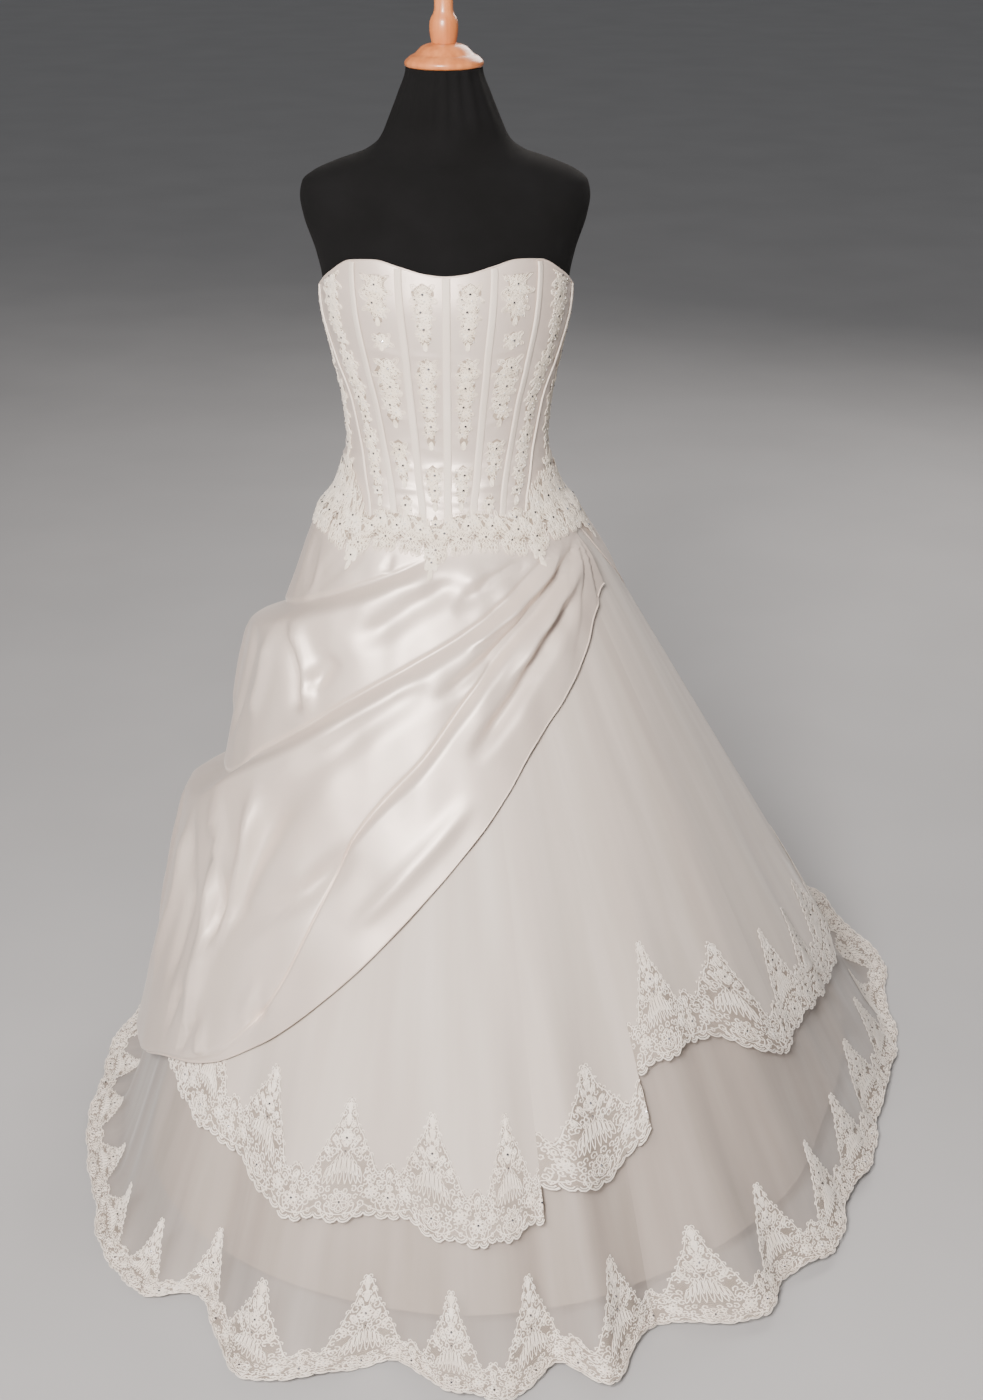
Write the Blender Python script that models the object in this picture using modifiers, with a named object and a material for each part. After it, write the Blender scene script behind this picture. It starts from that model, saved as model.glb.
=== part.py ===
"""Strapless ball gown standing on a limbless dress form.

Metres, +Z up. The origin is the centre of the flat underside of the form's round base.
Angles are degrees round the Z axis: 0 is the front (-Y), +90 is the wearer's left (+X).
Names ending in _l lie on the wearer's left (+X), and names ending in _r on the right (-X).
"""
import bisect
import math

import bpy
from mathutils import Vector

# Cloth thicknesses and the gaps between pieces
SEAM_GAP = 0.0003
LAY_GAP = 0.0005
LACE_GAP = 0.0009
SIDE_LACE_GAP = 0.0016
BORDER_GAP = 0.0036
TRAIN_BORDER_GAP = 0.0045
BODICE_CLOTH = 0.0018
CHANNEL_CLOTH = 0.0016
LACE_CLOTH = 0.0012
ORGANZA_CLOTH = 0.0012
SATIN_CLOTH = 0.0014

# Heights of the gown's main levels
WAIST_SEAM = 1.000
SKIRT_TOP = WAIST_SEAM - 0.0004
CHANNEL_FOOT = 0.05

# How far the skirt layers lie from the lower tier's face at the waist seam
UNDERSKIRT_INSET = 0.0023
UPPER_TIER_OFFSET = 0.0023
SATIN_OFFSET = 0.0047

# How far the layers spread apart towards the hem
UNDERSKIRT_SPREAD = 0.008
UPPER_TIER_SPREAD = 0.010
SATIN_SPREAD = 0.018
BACK_PANEL_SPREAD = 0.029

# The hem's run along the floor
FLOOR_LIFT = 0.0018
FLOOR_BEND = 0.035
LOWER_HEM = 0.985
UNDERSKIRT_FOOT = 0.055

# Scalloped lace border
SCALLOP_DEPTH = 0.012
LACE_OVERHANG = 0.010
LACE_CLEAR = 1.7
CELL_SHARES = [0, 0.25, 0.5, 0.75]
LACE_SHARES = [0, 0.5, 1]
TRAIN_LACE_SHARES = [0, 0.25, 0.5, 0.75, 1]

# Boning channels, piping and the bare cloth beside a motif
CHANNEL_HALF_WIDTH = 0.0042
PIPING_HALF_WIDTH = 0.0022
MOTIF_MARGIN = 0.008

# Upright folds of the organza tiers
LOWER_FOLD_DEPTH = 0.0085
UPPER_FOLD_DEPTH = 0.0085
FOLDS_START = 0.08
HEM_FOLDS_START = 0.35
LINING_CLEAR = 0.055

# Dress form
BASE_RADIUS = 0.19
POLE_RADIUS = 0.014
BASE_BOSS_TOP = 0.045
TORSO_FOOT = 0.860
NECK_TOP = 1.612
TORSO_COLUMNS = 26
SHARP_EDGE = 50


def chart(columns, rows):
    """A short table with named columns, whose first column is the place along it."""
    return columns.split(), rows


def read(table, column, place):
    """The value of one column between the table's rows, on a smooth curve through them."""
    names, rows = table
    index = names.index(column)
    places = [row[0] for row in rows]
    values = [row[index] for row in rows]
    if place <= places[0]:
        return values[0]
    if place >= places[-1]:
        return values[-1]
    k = bisect.bisect_right(places, place) - 1
    span = places[k + 1] - places[k]
    step = (values[k + 1] - values[k]) / span

    def slope(i):
        if i == 0 or i == len(places) - 1:
            return 0.0
        before = (values[i] - values[i - 1]) / (places[i] - places[i - 1])
        after = (values[i + 1] - values[i]) / (places[i + 1] - places[i])
        if before * after <= 0:
            return 0.0
        return 2 * before * after / (before + after)

    start, end = slope(k), slope(k + 1)
    t = (place - places[k]) / span
    curve = start * t + (3 * step - 2 * start - end) * t * t + (start + end - 2 * step) * t ** 3
    return values[k] + span * curve


# The bodice's outer face, as half ellipses in front of and behind the side line
BODICE = chart("height half_width front back", [
    (0.93, 0.200, 0.165, 0.158),
    (1.000, 0.188, 0.150, 0.140),
    (1.030, 0.165, 0.135, 0.125),
    (1.075, 0.1485, 0.120, 0.105),
    (1.113, 0.1435, 0.113, 0.098),
    (1.170, 0.148, 0.118, 0.100),
    (1.230, 0.160, 0.128, 0.106),
    (1.310, 0.175, 0.136, 0.112),
    (1.360, 0.176, 0.128, 0.110),
    (1.420, 0.172, 0.112, 0.106),
])

# The dress form's body, shoulders and covered neck
FORM = chart("height half_width front back", [
    (TORSO_FOOT, 0.150, 0.112, 0.112),
    (0.868, 0.164, 0.124, 0.122),
    (0.905, 0.178, 0.136, 0.132),
    (0.950, 0.184, 0.143, 0.136),
    (1.000, 0.1780, 0.1400, 0.1300),
    (1.030, 0.1598, 0.1302, 0.1202),
    (1.075, 0.1433, 0.1154, 0.1004),
    (1.113, 0.1393, 0.1090, 0.0940),
    (1.170, 0.1438, 0.1140, 0.0960),
    (1.230, 0.1558, 0.1240, 0.1020),
    (1.310, 0.1700, 0.1320, 0.1080),
    (1.335, 0.1710, 0.1270, 0.1070),
    (1.370, 0.1780, 0.1150, 0.1050),
    (1.420, 0.1940, 0.0980, 0.1010),
    (1.445, 0.1980, 0.0880, 0.0950),
    (1.465, 0.1940, 0.0800, 0.0900),
    (1.478, 0.1780, 0.0740, 0.0850),
    (1.490, 0.1500, 0.0690, 0.0790),
    (1.505, 0.1080, 0.0640, 0.0720),
    (1.518, 0.0900, 0.0610, 0.0680),
    (1.545, 0.0750, 0.0560, 0.0610),
    (1.580, 0.0600, 0.0510, 0.0530),
    (NECK_TOP, 0.0495, 0.0480, 0.0480),
])

# The bodice's top edge, from the centre front round to the centre back
NECKLINE = chart("angle height", [
    (0, 1.3590), (12, 1.3615), (28, 1.3705), (42, 1.3775), (55, 1.3745),
    (68, 1.3540), (82, 1.3310), (105, 1.3120), (140, 1.3010), (180, 1.2980),
])

# Where the bodice's seams lie at each height, in degrees from the centre front
BODICE_SEAMS = chart("height centre inner outer side back", [
    (1.000, 0, 14.0, 29.0, 42.0, 150.0),
    (1.040, 0, 15.5, 33.0, 47.5, 146.0),
    (1.070, 0, 18.5, 37.0, 54.0, 141.0),
    (1.120, 0, 22.0, 43.5, 61.5, 134.0),
    (1.190, 0, 23.5, 46.5, 66.5, 130.0),
    (1.250, 0, 24.0, 48.5, 75.0, 127.0),
    (1.310, 0, 25.5, 50.5, 80.0, 125.0),
    (1.380, 0, 28.5, 54.0, 82.0, 124.0),
])

# The skirt's plan: where the straight side would meet the floor, and where the hem lies
SKIRT_PLAN = chart("angle foot hem", [
    (-180, 0.700, 0.930), (-150, 0.640, 0.820), (-122, 0.545, 0.640), (-98, 0.520, 0.585),
    (-80, 0.530, 0.595), (-54, 0.605, 0.656), (-28, 0.660, 0.695), (0, 0.690, 0.715),
    (15, 0.700, 0.718), (30, 0.690, 0.706), (50, 0.690, 0.702), (68, 0.685, 0.698),
    (85, 0.705, 0.715), (105, 0.760, 0.800), (120, 0.785, 0.890), (136, 0.790, 0.950),
    (150, 0.760, 0.965), (180, 0.700, 0.930),
])

# How far the hem swings out of its plan in each of its folds
HEM_FOLDS = chart("angle swell", [
    (-180, 0.000), (-171, 0.010), (-161, -0.014), (-150, 0.012), (-138, -0.012), (-126, 0.010),
    (-114, -0.012), (-102, 0.010), (-90, -0.004), (-80, 0.002), (-70, -0.006), (-60, -0.016),
    (-52, 0.004), (-41, 0.008), (-34.5, -0.048), (-30, -0.016), (-22, 0.052), (-15, 0.010),
    (-7.5, -0.042), (-1, 0.012), (5, 0.032), (11.5, -0.026), (16, 0.036), (20.5, -0.022),
    (25, -0.048), (29, -0.018), (36, 0.028), (43, -0.008), (51, 0.014), (61, -0.020),
    (70, -0.004), (79, -0.014), (88, -0.004), (97, 0.008), (106, -0.008), (115, 0.012),
    (124, -0.010), (133, 0.012), (142, -0.012), (150, 0.010), (160, -0.014), (170, 0.010),
    (180, 0.000),
])

# The upper tier's hem, which steps up from the wearer's right to the left
UPPER_HEM = chart("angle height", [
    (-180, 0.250), (-120, 0.260), (-60, 0.262), (-46, 0.235), (-33, 0.205), (-22, 0.182),
    (-10, 0.186), (0, 0.174), (11.4, 0.186), (11.6, 0.228), (21, 0.218), (28.9, 0.262),
    (29.1, 0.330), (40, 0.346), (50, 0.305), (59, 0.252), (68, 0.258), (82, 0.232),
    (90, 0.222), (100, 0.265), (140, 0.275), (180, 0.250),
])

# Where one repeat of lace ends and the next begins on each tier
LOWER_CELLS = {
    "lower_lace_front": [-30, -17, -5, 4, 13.5, 25],
    "lower_lace_front_l": [25, 37.5, 49.5, 61, 74, 88],
    "lower_lace_back_l": [88, 100, 112, 124, 137, 150],
    "lower_lace_back": [150, 162, 174, 186, 198, 210],
    "lower_lace_back_r": [-150, -138, -126, -114, -102, -90],
    "lower_lace_front_r": [-90, -76, -62, -48.5, -39, -30],
}
UPPER_CELLS = {
    "upper_lace_side_r": [-150, -137, -124, -111, -98, -85, -72, -60],
    "upper_lace_front": [-60, -48, -36, -21.5, -9, 3, 11.5],
    "upper_lace_front_l": [11.5, 29],
    "upper_lace_side_l": [29, 41, 61],
    "upper_lace_back": [61, 73, 85, 98, 110, 122, 134, 146, 158, 170, 183, 196, 210],
}

# The border's upper edge over one repeat, from its peak (0) to where the next repeat begins (1)
LACE_TOP = chart("place top", [
    (0, 0.165), (0.10, 0.156), (0.17, 0.140), (0.29, 0.122), (0.34, 0.118), (0.46, 0.098),
    (0.66, 0.072), (0.86, 0.064), (1, 0.074),
])

# The satin drape: its fold lines and lower edge, and how far each fold stands out below its line
SATIN_FOLDS = chart("angle first second third edge first_lift second_lift third_lift", [
    (-180, 0.800, 0.480, 0.110, 0.104, 0.001, 0.002, 0.000),
    (-150, 0.810, 0.510, 0.112, 0.106, 0.024, 0.034, 0.000),
    (-120, 0.825, 0.545, 0.118, 0.112, 0.036, 0.050, 0.000),
    (-95, 0.848, 0.580, 0.140, 0.134, 0.044, 0.060, 0.000),
    (-70, 0.882, 0.630, 0.200, 0.192, 0.044, 0.058, 0.000),
    (-56, 0.906, 0.696, 0.262, 0.252, 0.040, 0.052, 0.000),
    (-41, 0.931, 0.756, 0.325, 0.308, 0.032, 0.042, 0.004),
    (-33, 0.943, 0.788, 0.405, 0.354, 0.028, 0.036, 0.010),
    (-21, 0.961, 0.825, 0.640, 0.445, 0.022, 0.030, 0.016),
    (-6, 0.982, 0.862, 0.742, 0.563, 0.016, 0.024, 0.020),
    (3, 0.990, 0.881, 0.798, 0.626, 0.013, 0.021, 0.020),
    (14, 0.994, 0.904, 0.850, 0.698, 0.010, 0.018, 0.018),
    (22, 0.996, 0.922, 0.879, 0.746, 0.008, 0.016, 0.016),
    (34, 0.997, 0.946, 0.908, 0.795, 0.005, 0.012, 0.014),
    (45, 0.998, 0.966, 0.934, 0.837, 0.003, 0.009, 0.012),
    (58, 0.999, 0.982, 0.964, 0.887, 0.001, 0.005, 0.008),
    (69, 0.9995, 0.990, 0.980, 0.910, 0.000, 0.002, 0.004),
])
FOLD_LIP = 0.005
FOLD_ROUNDING = 0.016
FOLD_REST = 0.22
FOLD_FADE = 0.02
HIP_ANGLE = 70.0
PLEAT_COUNT = 5
PLEAT_DEPTH = 0.005
PLEAT_START = 0.03
PLEAT_REACH = 0.11
HIP_RADIUS = 0.19
SATIN_FLAT = 0.010
SATIN_RISE = 0.045
ROW_STEP = 0.0016
SATIN_STEP = 5.0
BACK_SATIN_STEP = 7.0

# The front edge of the satin panel behind the wearer's left hip
BACK_PANEL_EDGE = chart("height angle", [
    (0.100, 158), (0.300, 150), (0.500, 140), (0.700, 125), (0.820, 110), (0.870, 100),
    (0.920, 88), (0.960, 80), (1.000, 74),
])
BACK_PANEL_FOOT = 0.104

# The lace band over the waist seam
WAIST_LACE_TOP = 1.0140
WAIST_LACE = chart("angle foot", [
    (-180, 0.972), (-168, 0.992), (-156, 0.990), (-144, 0.972), (-132, 0.992), (-120, 0.990),
    (-108, 0.972), (-96, 0.992), (-84, 0.993), (-70, 0.994), (-58, 0.986), (-47, 0.974),
    (-38, 0.990), (-27, 0.991), (-16, 0.988), (-8, 0.976), (2, 0.988), (14, 0.992),
    (26, 0.989), (34, 0.983), (43, 0.981), (52, 0.992), (62, 0.993), (74, 0.993),
    (84, 0.980), (96, 0.992), (108, 0.974), (120, 0.990), (132, 0.992), (144, 0.972),
    (156, 0.990), (168, 0.992), (180, 0.972),
])

# Half widths of the corded motifs down the middle of a bodice panel, from its top to its foot
CENTRE_MOTIFS = chart("level half_width", [
    (0.10, 0.004), (0.14, 0.011), (0.19, 0.003), (0.23, 0.012), (0.30, 0.003),
    (0.38, 0.004), (0.46, 0.014), (0.55, 0.008), (0.63, 0.014), (0.70, 0.002),
    (0.78, 0.006), (0.86, 0.017), (0.93, 0.012), (0.965, 0.004),
])
FRONT_MOTIFS = chart("level half_width", [
    (0.12, 0.004), (0.18, 0.012), (0.24, 0.003), (0.32, 0.013), (0.40, 0.007),
    (0.45, 0.003), (0.55, 0.012), (0.66, 0.018), (0.72, 0.008), (0.76, 0.003),
    (0.82, 0.011), (0.87, 0.004), (0.93, 0.017), (0.97, 0.010),
])
SIDE_MOTIFS = chart("level half_width", [
    (0.11, 0.010), (0.17, 0.016), (0.24, 0.010), (0.31, 0.015), (0.39, 0.012),
    (0.46, 0.018), (0.53, 0.012), (0.60, 0.020), (0.67, 0.014), (0.74, 0.021),
    (0.81, 0.014), (0.88, 0.022), (0.93, 0.018), (0.97, 0.009),
])

MATERIALS = {
    "satin": ((0.80, 0.76, 0.72, 1), 0.34, 0.0),
    "organza": ((0.78, 0.74, 0.70, 1), 0.60, 0.0),
    "lining": ((0.74, 0.70, 0.66, 1), 0.65, 0.0),
    "lace": ((0.86, 0.83, 0.78, 1), 0.75, 0.0),
    "jersey": ((0.012, 0.012, 0.014, 1), 0.85, 0.0),
    "beech": ((0.74, 0.40, 0.22, 1), 0.40, 0.0),
    "steel": ((0.30, 0.30, 0.31, 1), 0.35, 1.0),
}


def clear_scene():
    for item in list(bpy.data.objects):
        bpy.data.objects.remove(item, do_unlink=True)


def new_collection(name):
    collection = bpy.data.collections.new(name)
    bpy.context.scene.collection.children.link(collection)
    return collection


def make_material(name):
    colour, roughness, metallic = MATERIALS[name]
    material = bpy.data.materials.get(name) or bpy.data.materials.new(name)
    material.use_nodes = True
    shader = material.node_tree.nodes["Principled BSDF"]
    shader.inputs["Base Color"].default_value = colour
    shader.inputs["Roughness"].default_value = roughness
    shader.inputs["Metallic"].default_value = metallic
    return material


def add_object(name, mesh, material, collection):
    item = bpy.data.objects.new(name, mesh)
    collection.objects.link(item)
    item.data.materials.append(make_material(material))
    item.data.shade_smooth()
    item.data.set_sharp_from_angle(angle=math.radians(SHARP_EDGE))
    return item


def around(angle, radius, height):
    turn = math.radians(angle)
    return Vector((radius * math.sin(turn), -radius * math.cos(turn), height))


def half_ellipse_radius(table, angle, height):
    """Radius of a rounded section that has one depth in front and another behind."""
    turn = math.radians(angle)
    depth = read(table, "front" if math.cos(turn) > 0 else "back", height)
    width = read(table, "half_width", height)
    fullness = 2.15
    across = abs(math.sin(turn) / width) ** fullness
    along = abs(math.cos(turn) / depth) ** fullness
    return (across + along) ** (-1 / fullness)


def wrapped(angle):
    """The same direction as an angle from -180 to 180."""
    return (angle + 180) % 360 - 180


def blend(low, high, share):
    return low + (high - low) * share


def evenly(start, end, steps):
    return [blend(start, end, i / steps) for i in range(steps + 1)]


class Cloth:
    """A face laid out in columns and rows, from which pieces and what lies on them are made."""

    def __init__(self, surface, columns, rows):
        self.columns = columns
        self.rows = rows
        self.grid = [[surface(column, row) for row in rows] for column in columns]

    def at(self, column, row, out=0.0):
        """A point of the flat facets, which are split from corner to corner, moved out."""
        i = min(max(bisect.bisect_right(self.columns, column) - 1, 0), len(self.columns) - 2)
        j = min(max(bisect.bisect_right(self.rows, row) - 1, 0), len(self.rows) - 2)
        s = (column - self.columns[i]) / (self.columns[i + 1] - self.columns[i])
        t = (row - self.rows[j]) / (self.rows[j + 1] - self.rows[j])
        point = Vector()
        facing = Vector()
        if s >= t:
            corners = ((0, 0, 1 - s), (1, 0, s - t), (1, 1, t))
        else:
            corners = ((0, 0, 1 - t), (0, 1, t - s), (1, 1, s))
        for di, dj, share in corners:
            corner, outward = self.grid[i + di][j + dj]
            point += corner * share
            facing += outward * share
        return point + facing.normalized() * out


def wall(name, outer, columns, rows, thickness, material, collection, out=0.0, seams=True):
    """A closed piece of cloth. outer(column, row, out) gives its points, rows run downwards."""
    faces = []
    points = []
    layers = []
    for depth in (out, out - thickness):
        layer = [[outer(column, row, depth) for row in rows] for column in columns]
        if seams:
            shift_seam_edges(layer)
        layers.append(layer)
    row_count = len(rows)
    count = len(columns) * row_count
    for layer in layers:
        for column in layer:
            points.extend(column)

    def corner(layer, i, j):
        return layer * count + i * row_count + j

    for i in range(len(columns) - 1):
        for j in range(row_count - 1):
            here, below, beside, across = (i, j), (i, j + 1), (i + 1, j), (i + 1, j + 1)
            faces.append([corner(0, *here), corner(0, *below), corner(0, *across)])
            faces.append([corner(0, *here), corner(0, *across), corner(0, *beside)])
            faces.append([corner(1, *across), corner(1, *below), corner(1, *here)])
            faces.append([corner(1, *beside), corner(1, *across), corner(1, *here)])
    border = [(i, 0) for i in range(len(columns) - 1)]
    border += [(len(columns) - 1, j) for j in range(row_count - 1)]
    border += [(i, row_count - 1) for i in range(len(columns) - 1, 0, -1)]
    border += [(0, j) for j in range(row_count - 1, 0, -1)]
    for here, after in zip(border, border[1:] + border[:1]):
        faces.append([corner(0, *here), corner(0, *after), corner(1, *after), corner(1, *here)])
    mesh = bpy.data.meshes.new(name)
    mesh.from_pydata(points, [], faces)
    return add_object(name, mesh, material, collection)


def shift_seam_edges(layer):
    """Draw the two side edges in, so that neighbouring pieces stand a seam's gap apart."""
    for edge, beside in ((0, 1), (len(layer) - 1, len(layer) - 2)):
        for j in range(len(layer[edge])):
            inwards = layer[beside][j] - layer[edge][j]
            inwards.z = 0
            layer[edge][j] = layer[edge][j] + inwards.normalized() * SEAM_GAP / 2


def ring_solid(name, sections, material, collection):
    """A closed body through rings of points, given from the bottom up."""
    count = len(sections[0])
    points = [point for ring in sections for point in ring]
    faces = []
    for level in range(len(sections) - 1):
        for i in range(count):
            j = (i + 1) % count
            low, high = level * count, (level + 1) * count
            faces.append([low + i, low + j, high + j, high + i])
    faces.append(list(range(count))[::-1])
    last = (len(sections) - 1) * count
    faces.append(list(range(last, last + count)))
    mesh = bpy.data.meshes.new(name)
    mesh.from_pydata(points, [], faces)
    return add_object(name, mesh, material, collection)


def turned(name, profile, steps, material, collection):
    """A turned piece. The profile runs from the top of the axis down its outer side."""
    mesh = bpy.data.meshes.new(name)
    points = [(radius, 0, height) for radius, height in profile]
    mesh.from_pydata(points, [(i, i + 1) for i in range(len(points) - 1)], [])
    item = add_object(name, mesh, material, collection)
    screw = item.modifiers.new("Turn", "SCREW")
    screw.steps = steps
    screw.render_steps = steps
    screw.use_merge_vertices = True
    screw.merge_threshold = 0.0001
    screw.use_smooth_shade = True
    return item


def build_form(collection):
    """The dress form: base, pole, jersey torso, turned neck cap and finial."""
    turned("base", [
        (0, BASE_BOSS_TOP), (0.026, BASE_BOSS_TOP), (0.032, BASE_BOSS_TOP - 0.008),
        (0.042, 0.020), (0.075, 0.014), (BASE_RADIUS - 0.008, 0.010),
        (BASE_RADIUS, 0.006), (BASE_RADIUS, 0.001), (BASE_RADIUS - 0.001, 0), (0, 0),
    ], 24, "steel", collection)
    pole_foot = BASE_BOSS_TOP + SEAM_GAP
    pole_top = TORSO_FOOT - SEAM_GAP
    bpy.ops.mesh.primitive_cylinder_add(
        vertices=20, radius=POLE_RADIUS, depth=pole_top - pole_foot,
        location=(0, 0, (pole_top + pole_foot) / 2))
    pole = bpy.context.active_object
    pole.name = "pole"
    for other in list(pole.users_collection):
        other.objects.unlink(pole)
    collection.objects.link(pole)
    pole.data.materials.append(make_material("steel"))
    pole.data.shade_smooth()
    pole.data.set_sharp_from_angle(angle=math.radians(SHARP_EDGE))

    angles = [360 * i / TORSO_COLUMNS for i in range(TORSO_COLUMNS)]
    heights = [row[0] for row in FORM[1]]
    ring_solid("torso", [
        [around(a, half_ellipse_radius(FORM, wrapped(a), z), z) for a in angles] for z in heights
    ], "jersey", collection)

    foot = NECK_TOP + SEAM_GAP
    turned("neck_cap", [
        (0, foot + 0.030), (0.018, foot + 0.030), (0.030, foot + 0.026), (0.038, foot + 0.018),
        (0.042, foot + 0.0155), (0.050, foot + 0.010), (0.053, foot + 0.006),
        (0.0525, foot + 0.001), (0.050, foot), (0, foot),
    ], 24, "beech", collection)
    seat = foot + 0.030 + SEAM_GAP
    turned("finial", [
        (0, seat + 0.104), (0.007, seat + 0.102), (0.0125, seat + 0.095), (0.0150, seat + 0.084),
        (0.0135, seat + 0.072), (0.0125, seat + 0.058), (0.0125, seat + 0.042),
        (0.0165, seat + 0.033), (0.0192, seat + 0.022), (0.0185, seat + 0.010),
        (0.0165, seat), (0, seat),
    ], 16, "beech", collection)


def bodice_height(angle_at_top, level):
    top = read(NECKLINE, "height", abs(angle_at_top))
    return blend(WAIST_SEAM, top, level)


def bodice_point(angle, height):
    radius = half_ellipse_radius(BODICE, angle, height)
    return around(angle, radius, height), around(angle, 1, 0)


# Share of the bodice's height at each row, and its panels with their seams and steps
BODICE_LEVELS = [1, 0.86, 0.71, 0.56, 0.42, 0.28, 0.17, 0.10, CHANNEL_FOOT, 0]
BODICE_PANELS = [
    ("bodice_front_centre", "centre", "inner", 2),
    ("bodice_front", "inner", "outer", 2),
    ("bodice_side_front", "outer", "side", 2),
    ("bodice_side_back", "side", "back", 8),
    ("bodice_back", "back", None, 3),
]


def seam_angle(seam, height):
    return 180.0 if seam is None else read(BODICE_SEAMS, seam, height)


def bodice_panel(first, second, steps, side):
    """One bodice panel as cloth. Its columns run from 0 at one seam to 1 at the next."""
    highest = BODICE_SEAMS[1][-1][0]

    def surface(share, depth_down):
        top_angle = blend(seam_angle(first, highest), seam_angle(second, highest), share)
        height = bodice_height(top_angle, 1 - depth_down)
        angle = blend(seam_angle(first, height), seam_angle(second, height), share)
        return bodice_point(side * angle, height)

    if side < 0:
        mirrored = surface

        def surface(share, depth_down):
            return mirrored(1 - share, depth_down)

    return Cloth(surface, evenly(0, 1, steps), [1 - level for level in BODICE_LEVELS])


def build_bodice(collection):
    """The boned bodice: ten panels, and the channels stitched over their seams."""
    panels = {}
    for name, first, second, steps in BODICE_PANELS:
        for suffix, side in (("_l", 1), ("_r", -1)):
            cloth = bodice_panel(first, second, steps, side)
            wall(name + suffix, cloth.at, cloth.columns, cloth.rows, BODICE_CLOTH, "satin",
                 collection)
            panels[name + suffix] = cloth
    build_channels(collection)
    return panels


def build_channels(collection):
    """Stitched boning channels over the seams, and narrower piping over the side seams."""
    channels = [("channel_centre", "centre", 1, CHANNEL_HALF_WIDTH)]
    for seam, kind, half_width in (("inner", "channel", CHANNEL_HALF_WIDTH),
                                   ("outer", "channel", CHANNEL_HALF_WIDTH),
                                   ("side", "piping", PIPING_HALF_WIDTH),
                                   ("back", "channel", CHANNEL_HALF_WIDTH)):
        channels.append((f"{kind}_{seam}_l", seam, 1, half_width))
        channels.append((f"{kind}_{seam}_r", seam, -1, half_width))
    levels = [level for level in BODICE_LEVELS if level >= CHANNEL_FOOT]
    highest = BODICE_SEAMS[1][-1][0]
    for name, seam, side, half_width in channels:
        def outer(share, depth_down, out, seam=seam, side=side, half_width=half_width):
            height = bodice_height(seam_angle(seam, highest), 1 - depth_down)
            angle = side * seam_angle(seam, height)
            radius = half_ellipse_radius(BODICE, angle, height)
            angle += math.degrees(share * half_width / radius)
            radius = half_ellipse_radius(BODICE, angle, height)
            return around(angle, radius + out, height)

        wall(name, outer, [-1, 1], [1 - level for level in levels], CHANNEL_CLOTH, "satin",
             collection, out=LAY_GAP + CHANNEL_CLOTH, seams=False)


def build_appliques(panels, collection):
    """Corded lace motifs that taper down the middle of the front and side-front panels."""
    for name, motifs, panel_name, gap in (
            ("applique_centre", CENTRE_MOTIFS, "bodice_front_centre", LACE_GAP),
            ("applique_front", FRONT_MOTIFS, "bodice_front", LACE_GAP),
            ("applique_side", SIDE_MOTIFS, "bodice_side_front", SIDE_LACE_GAP)):
        for suffix in ("_l", "_r"):
            cloth = panels[panel_name + suffix]

            def outer(share, depth_down, out, cloth=cloth, motifs=motifs):
                level = 1 - depth_down
                width = (cloth.at(1, depth_down) - cloth.at(0, depth_down)).length
                reach = min(read(motifs, "half_width", level), width / 2 - MOTIF_MARGIN)
                return cloth.at(0.5 + share * reach / width, depth_down, out)

            rows = sorted(1 - row[0] for row in motifs[1])
            wall(name + suffix, outer, [-1, 0, 1], rows, LACE_CLOTH, "lace", collection,
                 out=gap + LACE_CLOTH, seams=False)


def skirt_profile(angle, fraction):
    """Radius and height of the lower tier's face, from the waist seam (0) to the hem (1)."""
    turn = wrapped(angle)
    waist = half_ellipse_radius(BODICE, turn, WAIST_SEAM) - SATIN_OFFSET
    foot = read(SKIRT_PLAN, "foot", turn)
    hem = read(SKIRT_PLAN, "hem", turn)
    radius = blend(waist, hem, fraction)
    drop = SKIRT_TOP - FLOOR_LIFT - FLOOR_BEND ** 2 / (4 * SKIRT_TOP)
    line = drop * (1 - (radius - waist) / (foot - waist))
    height = FLOOR_LIFT + (line + math.sqrt(line * line + FLOOR_BEND ** 2)) / 2
    return radius + read(HEM_FOLDS, "swell", turn) * hem_share(fraction), height


def hem_share(fraction):
    """Share of a hem fold's swing: none at mid skirt, all of it at the hem."""
    return (max(0.0, fraction - HEM_FOLDS_START) / (1 - HEM_FOLDS_START)) ** 2


def fold_columns(start, end, step):
    """Angles from start to end at every hem fold, with more between them where they are far apart."""
    knots = [row[0] + turn for turn in (0, 360) for row in HEM_FOLDS[1]]
    inside = sorted({knot for knot in knots if start < knot < end} | {start, end})
    columns = [start]
    for knot in inside[1:]:
        before = columns[-1]
        columns += evenly(before, knot, math.ceil((knot - before) / step))[1:]
    return columns


def skirt_facing(angle, fraction):
    """The skirt's outward direction, level at the waist seam and square to the side below it."""
    radius, height = skirt_profile(angle, fraction)
    lower_radius, lower_height = skirt_profile(angle, fraction + 0.01)
    square = Vector((height - lower_height, lower_radius - radius)).normalized()
    share = min(1.0, 4 * fraction)
    level = Vector((1.0, 0.0))
    return (level * (1 - share) + square * share).normalized()


def skirt_point(angle, fraction, out):
    """A point of the skirt and its outward direction, moved out from the lower tier's face."""
    radius, height = skirt_profile(angle, fraction)
    facing = skirt_facing(angle, fraction)
    point = around(angle, radius + facing.x * out, height + facing.y * out)
    return point, around(angle, facing.x, facing.y)


def fraction_at(angle, height):
    """How far down the skirt's side a height lies."""
    low, high = 0.0, 1.0
    for _ in range(22):
        middle = (low + high) / 2
        if skirt_profile(angle, middle)[1] > height:
            low = middle
        else:
            high = middle
    return (low + high) / 2


def below_hip(fraction):
    """Share of a fold's depth: none at the hip, all of it at the hem."""
    return max(0.0, (fraction - FOLDS_START) / (1 - FOLDS_START)) ** 1.4


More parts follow.
